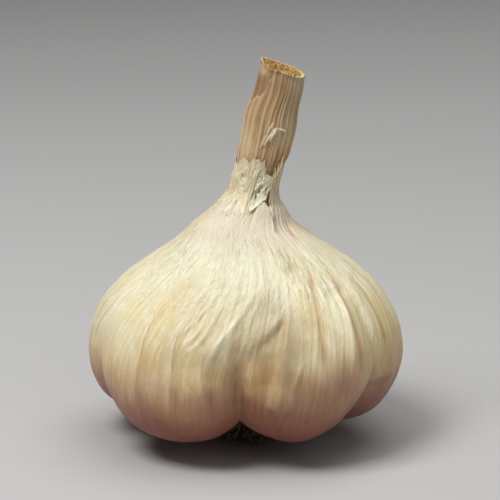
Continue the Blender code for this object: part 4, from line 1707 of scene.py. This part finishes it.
    def _cut_face(self, turn: Array) -> dict[str, Array]:
        """The rim, the drop inside it and the rolled leaves of the pith.

        Args:
            turn: Shares of a full turn.

        Returns:
            The points in mm and the marks, by name.
        """
        outer = float(stalk_radius(np.array(self.cut_height)))
        share = np.linspace(0.0, 1.0, self.face_rings)[:, None]
        inset = 0.12 + (outer - 0.35) * share**0.92
        rough = layered_grain(self.seed + 9, 40, 0.5, turn, share * 12.0)
        fine = layered_grain(self.seed + 13, 90, 0.35, turn, share * 12.0 + 40.0)
        rolled = 0.5 + 0.5 * np.cos(TAU * (3.2 * share + 0.35 * turn + 0.12 * rough))
        drop = self.sink * ease(inset, self.rim * 0.6, self.rim * 1.9)
        drop = drop + 0.30 * (1.0 - rolled) * ease(share, 0.1, 0.3)
        drop = drop + (0.34 * rough + 0.30 * fine) * ease(share, 0.02, 0.2)
        drop = drop + self._rim_drop(turned(turn * 360.0, 0.0)) * (1.0 - share) + 0.4 * share
        points = self._ring(turn, np.ones_like(share), inset + 0.16, drop)
        return {
            "points": points,
            "ribs": 0.0,
            "dark": 0.8 * ease(rolled, 0.35, 0.0) + 0.6 * ease(fine, 0.25, 0.7),
            "pale": 0.9 * ease(share, 0.16, 0.0),
        }


# ---- the torn neck


@dataclass(frozen=True)
class Scrap:
    """A torn scrap of skin at the neck: a tongue that rises from the skin, or a loose piece stuck across it.

    Its base and tip are (angle, height); its width is in mm, its lift is how far the tip stands off, and its
    tone runs from 0, chalky, to 1, tan.
    """

    base: Pair
    tip: Pair
    width: float
    lift: float
    curl: float = 0.0
    blunt: float = 0.5
    tone: float = 0.0


HAND_SCRAPS = (
    Scrap((27.0, 51.2), (-2.0, 47.6), 2.4, 0.60, 0.1, 0.75),
    Scrap((32.0, 53.8), (14.0, 51.2), 1.7, 0.70, 0.1, 0.7, 0.1),
    Scrap((23.0, 54.2), (10.0, 52.4), 1.3, 0.55, 0.1, 0.7, 0.3),
    Scrap((38.0, 52.6), (26.0, 50.6), 1.3, 0.55, 0.1, 0.7, 0.2),
    Scrap((8.0, 53.6), (0.0, 51.4), 1.2, 0.45, 0.1, 0.7, 0.3),
    Scrap((11.0, 63.4), (-5.0, 60.2), 0.6, 0.25, 0.05, 0.6, 0.6),
    Scrap((16.0, 63.6), (5.0, 61.0), 0.7, 0.35, 0.05, 0.7, 0.3),
    Scrap((36.0, 62.9), (13.0, 63.6), 0.4, 0.20, 0.0, 0.5, 0.6),
    Scrap((6.0, 64.6), (-3.0, 62.4), 0.4, 0.15, 0.0, 0.5, 0.8),
)


HAND_FIBRES = (
    ((46.0, 57.7), (43.0, 54.5), (38.0, 51.4)),
    ((33.0, 55.6), (43.0, 53.0), (50.0, 49.4)),
    ((40.0, 56.4), (42.5, 52.0), (41.0, 47.8)),
    ((48.0, 56.6), (53.0, 53.4), (54.0, 50.6)),
    ((36.0, 54.6), (38.0, 51.4), (36.0, 48.6)),
    ((-9.0, 53.6), (-11.0, 50.0)),
    ((-4.0, 53.2), (-5.0, 49.8)),
    ((-12.0, 59.6), (-4.0, 61.6), (2.0, 63.4)),
)


@dataclass
class TornNeck:
    """Thin torn layers, scraps and fibres where the skin meets the stalk."""

    rows: int = 22
    columns: int = 15
    thickness: float = 0.10
    seed: int = 21
    loose_scraps: int = 22
    back_fibres: int = 7
    fibre_points: int = 13
    grain_radius: float = 9.0
    flake: float = 1.5
    sleeve_columns: int = 360
    sleeve_rows: int = 60
    sleeve_foot: float = 46.4
    sleeve_thickness: float = 0.08
    sleeve_edge: Pairs = (
        (-180.0, 56.4), (-120.0, 57.4), (-70.0, 56.6), (-40.0, 57.8), (-14.0, 57.2), (4.0, 57.6),
        (12.0, 55.6), (20.0, 53.4), (28.0, 51.0), (40.0, 49.0), (72.0, 49.0), (100.0, 53.4), (140.0, 56.0),
        (180.0, 56.4),
    )

    def build(self, skin: Material, straw: Material, strands: Shape) -> list[Object]:
        """Makes the torn pieces.

        Args:
            skin: The finish of the skin.
            straw: The finish of the fibres.
            strands: The tree that makes fibres.

        Returns:
            The finished pieces.
        """
        return [self._scraps(skin), self._sleeve(skin), self._fibres(straw, strands)]

    def _surface(self, height: Array) -> tuple[Array, Array, Array]:
        """Finds the neck, or the stalk above it.

        Args:
            height: Heights in mm.

        Returns:
            Middle x, middle y and radius there.
        """
        x, y = STALK_LINE.at(height)
        bulb_x, _ = Bulb.middle.at(height)
        share = ease(height, 48.0, 51.0)
        above = ease(height, 55.5, 59.0)
        radius = collar_radius(height) * (1.0 - above) + (stalk_radius(height) - 0.1) * above
        return bulb_x * (1.0 - share) + x * share, y * share, radius

    def _scrap_mesh(self, scrap: Scrap, seed: int) -> Mesh:
        """One scrap as a thin curved sheet with a ragged outline.

        Args:
            scrap: The scrap.
            seed: Seed of its outline.

        Returns:
            Its mesh, with its marks.
        """
        chance = np.random.RandomState(seed)
        along = np.linspace(0.0, 1.0, self.rows)[:, None]
        side = np.linspace(-1.0, 1.0, self.columns)[None, :]
        wobble = np.interp(along[:, 0], np.linspace(0, 1, 8), chance.uniform(-1, 1, 8))[:, None]
        other = np.interp(along[:, 0], np.linspace(0, 1, 9), chance.uniform(-1, 1, 9))[:, None]
        taper = np.clip(1.0 - along, 0.0, 1.0) ** (1.2 - scrap.blunt)
        half = 0.5 * scrap.width * (0.55 + 0.45 * np.sin(np.pi * np.clip(along * 0.8 + 0.2, 0, 1))) * taper
        ragged = 1.0 + 0.25 * np.where(side < 0, wobble, other) * np.abs(side) ** 2
        angle = scrap.base[0] + (scrap.tip[0] - scrap.base[0]) * along
        height = scrap.base[1] + (scrap.tip[1] - scrap.base[1]) * along
        _, _, radius = self._surface(height)
        lean = math.atan2(scrap.tip[1] - scrap.base[1],
                          math.radians(scrap.tip[0] - scrap.base[0]) * float(radius.mean()))
        shift = side * half * ragged
        angle = angle + np.degrees(shift * math.sin(lean) / radius)
        height = height - shift * math.cos(lean)
        x, y, radius = self._surface(height)
        crinkle = 0.05 * np.sin(side * 4.4 + 3.0 * wobble) * ease(along, 0.05, 0.5)
        crinkle = crinkle + 0.10 * other * (1 - side**2)
        stand = 0.10 + scrap.lift * along**1.8 + scrap.curl * side**2 * along + crinkle
        mesh = sheet_mesh("scrap", wrapped(x, y, radius + stand, np.radians(angle), height))
        edge = ease(np.abs(side), 0.6, 1.0)
        # Each scrap gets painted shade at its base, where it leaves the skin.
        store_marks(
            mesh, (self.rows, self.columns), crumple=0.4, aged=scrap.tone, dark=0.15 * ease(along, 0.25, 0.0),
            pale=(0.75 + 0.25 * edge + 0.1 * wobble) * (1.0 - 0.8 * scrap.tone),
        )
        return mesh

    def _scraps(self, skin: Material) -> Object:
        """All scraps as one piece, the front ones listed and the others seeded.

        Args:
            skin: Their finish.

        Returns:
            The finished piece.
        """
        chance = random.Random(self.seed)
        scraps = list(HAND_SCRAPS)
        for i in range(self.loose_scraps):
            angle = 108.0 + (348.0 - 108.0) * (i + chance.uniform(0.1, 0.9)) / self.loose_scraps
            foot = chance.uniform(47.5, 53.4)
            top = foot + chance.uniform(1.2, 2.4)
            tip = (angle + chance.uniform(-16.0, 16.0), top)
            spans = ((0.8, 1.8), (0.05, 0.22), (0.0, 0.15), (0.1, 0.7), (0.2, 0.9))
            scraps.append(Scrap((angle, foot), tip, *(chance.uniform(*span) for span in spans)))
        mesh = join_meshes("torn_scraps", [self._scrap_mesh(s, self.seed + i) for i, s in enumerate(scraps)])
        piece = add_piece("torn_scraps", mesh, skin)
        self._thicken(piece, self.thickness)
        self._grain(piece)
        mount(piece, "papery_skin")
        return piece

    def _thicken(self, piece: Object, thickness: float) -> None:
        """Gives a sheet a thickness in mm, centred on it.

        Args:
            piece: The sheet.
            thickness: Its thickness in mm.
        """
        solid = piece.modifiers.new("thickness", "SOLIDIFY")
        solid.thickness = thickness * MM
        solid.offset = 0.0
        bake_modifiers(piece)
        piece.data.shade_smooth()

    def _grain(self, piece: Object) -> None:
        """Stores the grain's direction from each point's own place round the neck.

        Args:
            piece: The piece.
        """
        place = points_of(piece.data) / MM
        x, y = STALK_LINE.at(place[:, 2])
        store_grain(piece.data, self.grain_radius, np.arctan2(place[:, 0] - x, y - place[:, 1]), place[:, 2])

    def _sleeve(self, finish: Material) -> Object:
        """A mottled, crumpled sleeve of old skin round the foot of the stalk.

        Args:
            finish: Its finish.

        Returns:
            The finished piece.
        """
        turn = np.linspace(0.0, 1.0, self.sleeve_columns, endpoint=False)[None, :]
        angle = turned(turn * 360.0, 0.0)
        ragged = layered_grain(self.seed, 40, 1.0, turn, np.zeros_like(turn))
        spikes = np.abs(Grain(self.seed + 5, 110, 1.0).at(turn, np.zeros_like(turn)))
        top = np.interp(angle, *zip(*self.sleeve_edge)) + 0.5 * ragged - 0.8 * spikes
        share = np.linspace(0.0, 1.0, self.sleeve_rows)[:, None]
        height = self.sleeve_foot + (np.maximum(top, 48.0) - self.sleeve_foot) * share
        wave = layered_grain(self.seed + 31, 34, 3.4, turn, height)
        crumbs = layered_grain(self.seed + 33, 90, 0.8, turn, height)
        phase = (height + 1.3 * wave + 0.9 * crumbs) / self.flake
        step = phase - np.floor(phase)
        shingle = step * ease(step, 1.0, 0.93)
        outside = np.clip(ease(angle, 3.0, -9.0) + ease(angle, 92.0, 112.0), 0.0, 1.0)
        x, y, skin = self._surface(height)
        cracks = layered_grain(self.seed + 35, 130, 3.0, turn, height)
        patch = ease(height + 2.4 * wave, 46.6, 50.4) * ease(wave, -0.95, -0.65)
        over = skin - 0.25 + 0.36 * patch + 0.12 * shingle - 0.22 * ease(height, 51.0, 55.0)
        under = neck_radius(height) + 0.34 + 0.10 * shingle
        rough = 0.06 * crumbs + 0.09 * cracks - 0.12 * ease(share, 0.85, 1.0)
        radius = under + (over - under) * outside + rough
        cling = neck_radius(height) + 0.2 + 0.05 * crumbs
        radius = np.maximum(radius + (cling - radius) * ease(height, 54.0, 57.0), neck_radius(height) + 0.15)
        mesh = ring_mesh("torn_sleeve", wrapped(x, y, radius, turn * TAU, height), False, False)
        store_marks(
            mesh, height.shape, crumple=0.35,
            aged=0.25 + 0.6 * ease(height, 48.5, 54.0) + 0.9 * wave * ease(height, 47.0, 50.0),
            # Painted shadow under each shingle's step and a painted highlight on its upper edge; the cracks
            # are the skin's own dark lines.
            dark=0.35 * ease(step, 0.16, 0.0) + 0.6 * ease(cracks, 0.35, 0.75),
            pale=0.45 * ease(step, 0.70, 0.95) * ease(wave, 0.2, -0.3),
        )
        piece = add_piece("torn_sleeve", mesh, finish)
        self._thicken(piece, self.sleeve_thickness)
        self._grain(piece)
        mount(piece, "papery_skin")
        return piece

    def _fibres(self, straw: Material, strands: Shape) -> Object:
        """Loose golden fibres along the right of the neck, and a few round the rest.

        Args:
            straw: Their finish.
            strands: The tree that makes them round.

        Returns:
            The finished piece.
        """
        chance = random.Random(self.seed + 50)
        paths = list(HAND_FIBRES)
        for _ in range(self.back_fibres):
            angle = chance.uniform(110.0, 250.0)
            paths.append(((angle + chance.uniform(-8, 8), chance.uniform(53.0, 57.0)),
                          (angle, chance.uniform(49.0, 51.0))))
        fibres = []
        for path in paths:
            fibre = []
            for k, (angle, height) in enumerate(smooth_line(path, self.fibre_points)):
                share = k / (self.fibre_points - 1)
                x, y, radius = self._surface(height)
                stand = (0.30 if 20.0 < angle < 60.0 else 0.12) * math.sin(math.pi * share)
                place = wrapped(x, y, radius + 0.02 + stand, math.radians(angle), height)
                fibre.append((place, 1.0 - 0.5 * abs(2.0 * share - 1.0), math.sin(math.pi * share)))
            fibres.append(fibre)
        mesh = strand_mesh("neck_fibres", fibres)
        piece = add_piece("neck_fibres", mesh, straw)
        strands.apply(piece, Radius=0.2 * MM, Sides=6, Curl=0.7 * MM, Curl_Size=260.0, Seed=4, Material=straw)
        self._grain(piece)
        store(piece.data, "pale", np.full(len(piece.data.vertices), 1.0))
        mount(piece, "dry_stalk")
        return piece


# ---- the roots


@dataclass
class RootTuft:
    """The corky root plate and its tangle of trimmed wiry roots."""

    plate: Pairs = ((0.1, 7.7), (6.7, 7.8), (7.3, 6.9), (6.7, 5.2), (5.6, 3.4), (3.4, 2.6), (0.1, 2.3))
    plate_columns: int = 120
    plate_rings: int = 40
    roots: int = 300
    foot_radius: float = 6.9
    clearance: float = 0.05
    points_each: int = 9
    reach: float = 10.8
    seed: int = 33

    def build(self, material: Material, strands: Shape) -> list[Object]:
        """Makes the plate and the roots.

        Args:
            material: Their finish.
            strands: The tree that makes the roots.

        Returns:
            The finished pieces.
        """
        return [self._plate(material), self._roots(material, strands)]

    def _plate(self, material: Material) -> Object:
        """The corky disc that the roots grow from.

        Args:
            material: Its finish.

        Returns:
            The finished piece.
        """
        turn = np.linspace(0.0, 1.0, self.plate_columns, endpoint=False)[None, :]
        outline = smooth_line(self.plate[::-1], self.plate_rings)
        radius, height = outline[:, :1], outline[:, 1:]
        rough = layered_grain(self.seed, 26, 2.2, turn, np.arange(self.plate_rings)[:, None] * 0.45)
        radius = np.maximum(radius + 0.35 * rough * ease(radius, 0.5, 3.0), 0.05)
        height = height + 0.35 * rough * ease(height, 7.6, 5.0)
        points = wrapped(0.0, 0.0, radius, turn * TAU, height)
        piece = add_piece("root_plate", ring_mesh("root_plate", points), material)
        mount(piece, "dry_roots", "roots")
        return piece

    def _roots(self, material: Material, strands: Shape) -> Object:
        """Roots that leave the plate all over its underside, splay, tangle and end where they were trimmed.

        Args:
            material: Their finish.
            strands: The tree that makes them round.

        Returns:
            The finished piece.
        """
        chance = random.Random(self.seed)
        roots = []
        for i in range(self.roots):
            share = math.sqrt((i + 0.5) / self.roots)
            turn = i * GOLDEN_ANGLE + chance.uniform(-0.2, 0.2)
            start_radius = self.foot_radius * share
            start_height = 3.0 + 3.4 * share**3
            end_radius = start_radius * chance.uniform(0.9, 1.5) + chance.uniform(0.0, 2.2) * share
            end_radius = min(self.reach, end_radius)
            end_height = chance.uniform(0.25, 1.3) + (chance.uniform(0.0, 2.2) if share > 0.85 else 0.0)
            swing = chance.uniform(-0.5, 0.5)
            bulge = chance.uniform(0.0, 1.4) * share
            root = []
            for k in range(self.points_each):
                t = k / (self.points_each - 1)
                radius = start_radius + (end_radius - start_radius) * t + bulge * math.sin(math.pi * t)
                height = start_height + (end_height - start_height) * t**1.15
                place = wrapped(0.0, 0.0, min(radius, self.reach), turn + swing * t * t, height)
                thick = (1.0 - 0.35 * t) * (0.7 + 0.05 * (i * 7 % 10))
                root.append((place, thick, ease(t, 0.0, 0.5) * (1.0 - 0.4 * t)))
            roots.append(root)
        mesh = strand_mesh("wiry_roots", roots)
        piece = add_piece("wiry_roots", mesh, material)
        strands.apply(piece, Radius=0.27 * MM, Sides=5, Curl=2.2 * MM, Curl_Size=420.0, Seed=2,
                      Material=material)
        self._trim(piece)
        mount(piece, "dry_roots")
        return piece

    def _trim(self, piece: Object) -> None:
        """Keeps every root above the surface that the bulb stands on.

        Args:
            piece: The roots.
        """
        place = points_of(piece.data)
        place[:, 2] = np.maximum(place[:, 2], self.clearance * MM)
        piece.data.vertices.foreach_set("co", place.reshape(-1))
        piece.data.update()


# ---- the studio


@dataclass
class Studio:
    """A pale floor, soft light from above and the camera."""

    target: Triple = (0.9, 0.0, 38.2)
    lights: tuple[tuple[str, Triple, float, float], ...] = (
        ("key", (-0.30, -0.26, 0.68), 0.34, 5.0),
        ("top", (0.30, 0.20, 1.60), 1.40, 13.5),
        ("fill", (0.50, -0.75, 0.55), 0.60, 1.2),
    )
    glow: float = 0.10
    floor_half: float = 4000.0
    distance: float = 400.0
    elevation: float = 12.5
    view_width: float = 100.0
    sensor: float = 36.0

    def build(self, finish: Material) -> None:
        """Sets the stage.

        Args:
            finish: The floor's finish.
        """
        self._floor(finish)
        self._sky()
        for light in self.lights:
            self._light(*light)
        self._camera()
        bpy.context.scene.view_settings.view_transform = "Standard"

    def _floor(self, finish: Material) -> None:
        """A wide floor just under the bulb.

        Args:
            finish: Its finish.
        """
        half = self.floor_half
        corners = ((-half, -half, 0.0), (half, -half, 0.0), (half, half, 0.0), (-half, half, 0.0))
        mesh = new_mesh("floor", corners, [(0, 1, 2, 3)])
        floor = bpy.data.objects.new("floor", mesh)
        bpy.context.scene.collection.objects.link(floor)
        mesh.materials.append(finish)

    def _sky(self) -> None:
        """Even white light from all round."""
        world = bpy.data.worlds.new("studio")
        world.use_nodes = True
        background = world.node_tree.nodes["Background"]
        background.inputs["Color"].default_value = (1.0, 1.0, 1.0, 1.0)
        background.inputs["Strength"].default_value = self.glow
        bpy.context.scene.world = world

    def _light(self, name: str, place: Triple, size: float, power: float) -> None:
        """A square softbox aimed at the bulb.

        Args:
            name: Its name.
            place: Where it is, in metres.
            size: Its side in metres.
            power: Its power in watts.
        """
        data = bpy.data.lights.new(name, "AREA")
        data.size = size
        data.energy = power
        light = bpy.data.objects.new(name, data)
        bpy.context.scene.collection.objects.link(light)
        light.location = place
        aim = Vector(self.target) * MM - Vector(place)
        light.rotation_euler = aim.to_track_quat("-Z", "Y").to_euler()

    def _camera(self) -> None:
        """The camera, a little above the bulb and far enough off for a flat view."""
        data = bpy.data.cameras.new("camera")
        data.sensor_width = self.sensor
        data.lens = self.sensor * self.distance / self.view_width
        data.clip_start = 0.01
        camera = bpy.data.objects.new("camera", data)
        bpy.context.scene.collection.objects.link(camera)
        rise = math.radians(self.elevation)
        target = Vector(self.target) * MM
        camera.location = target + Vector((0.0, -math.cos(rise), math.sin(rise))) * self.distance * MM
        camera.rotation_euler = (target - camera.location).to_track_quat("-Z", "Y").to_euler()
        bpy.context.scene.camera = camera


def main() -> None:
    """Builds the bulb, its stalk, the torn neck and the roots, and sets the stage."""
    logging.basicConfig(level=logging.INFO, format="%(name)s: %(message)s")
    skin, straw = PaperyFinish().material(), StrawFinish().material()
    torn = PaperyFinish(name="torn_skin", softness=0.0).material()
    ribs, strands = rib_relief(), strand_tube()
    Bulb().build(skin, ribs)
    Stalk().build(straw, PithFinish().material(), ribs)
    TornNeck().build(torn, straw, strands)
    RootTuft().build(RootFinish().material(), strands)
    Studio().build(FloorFinish().material())


if __name__ == "__main__":
    main()
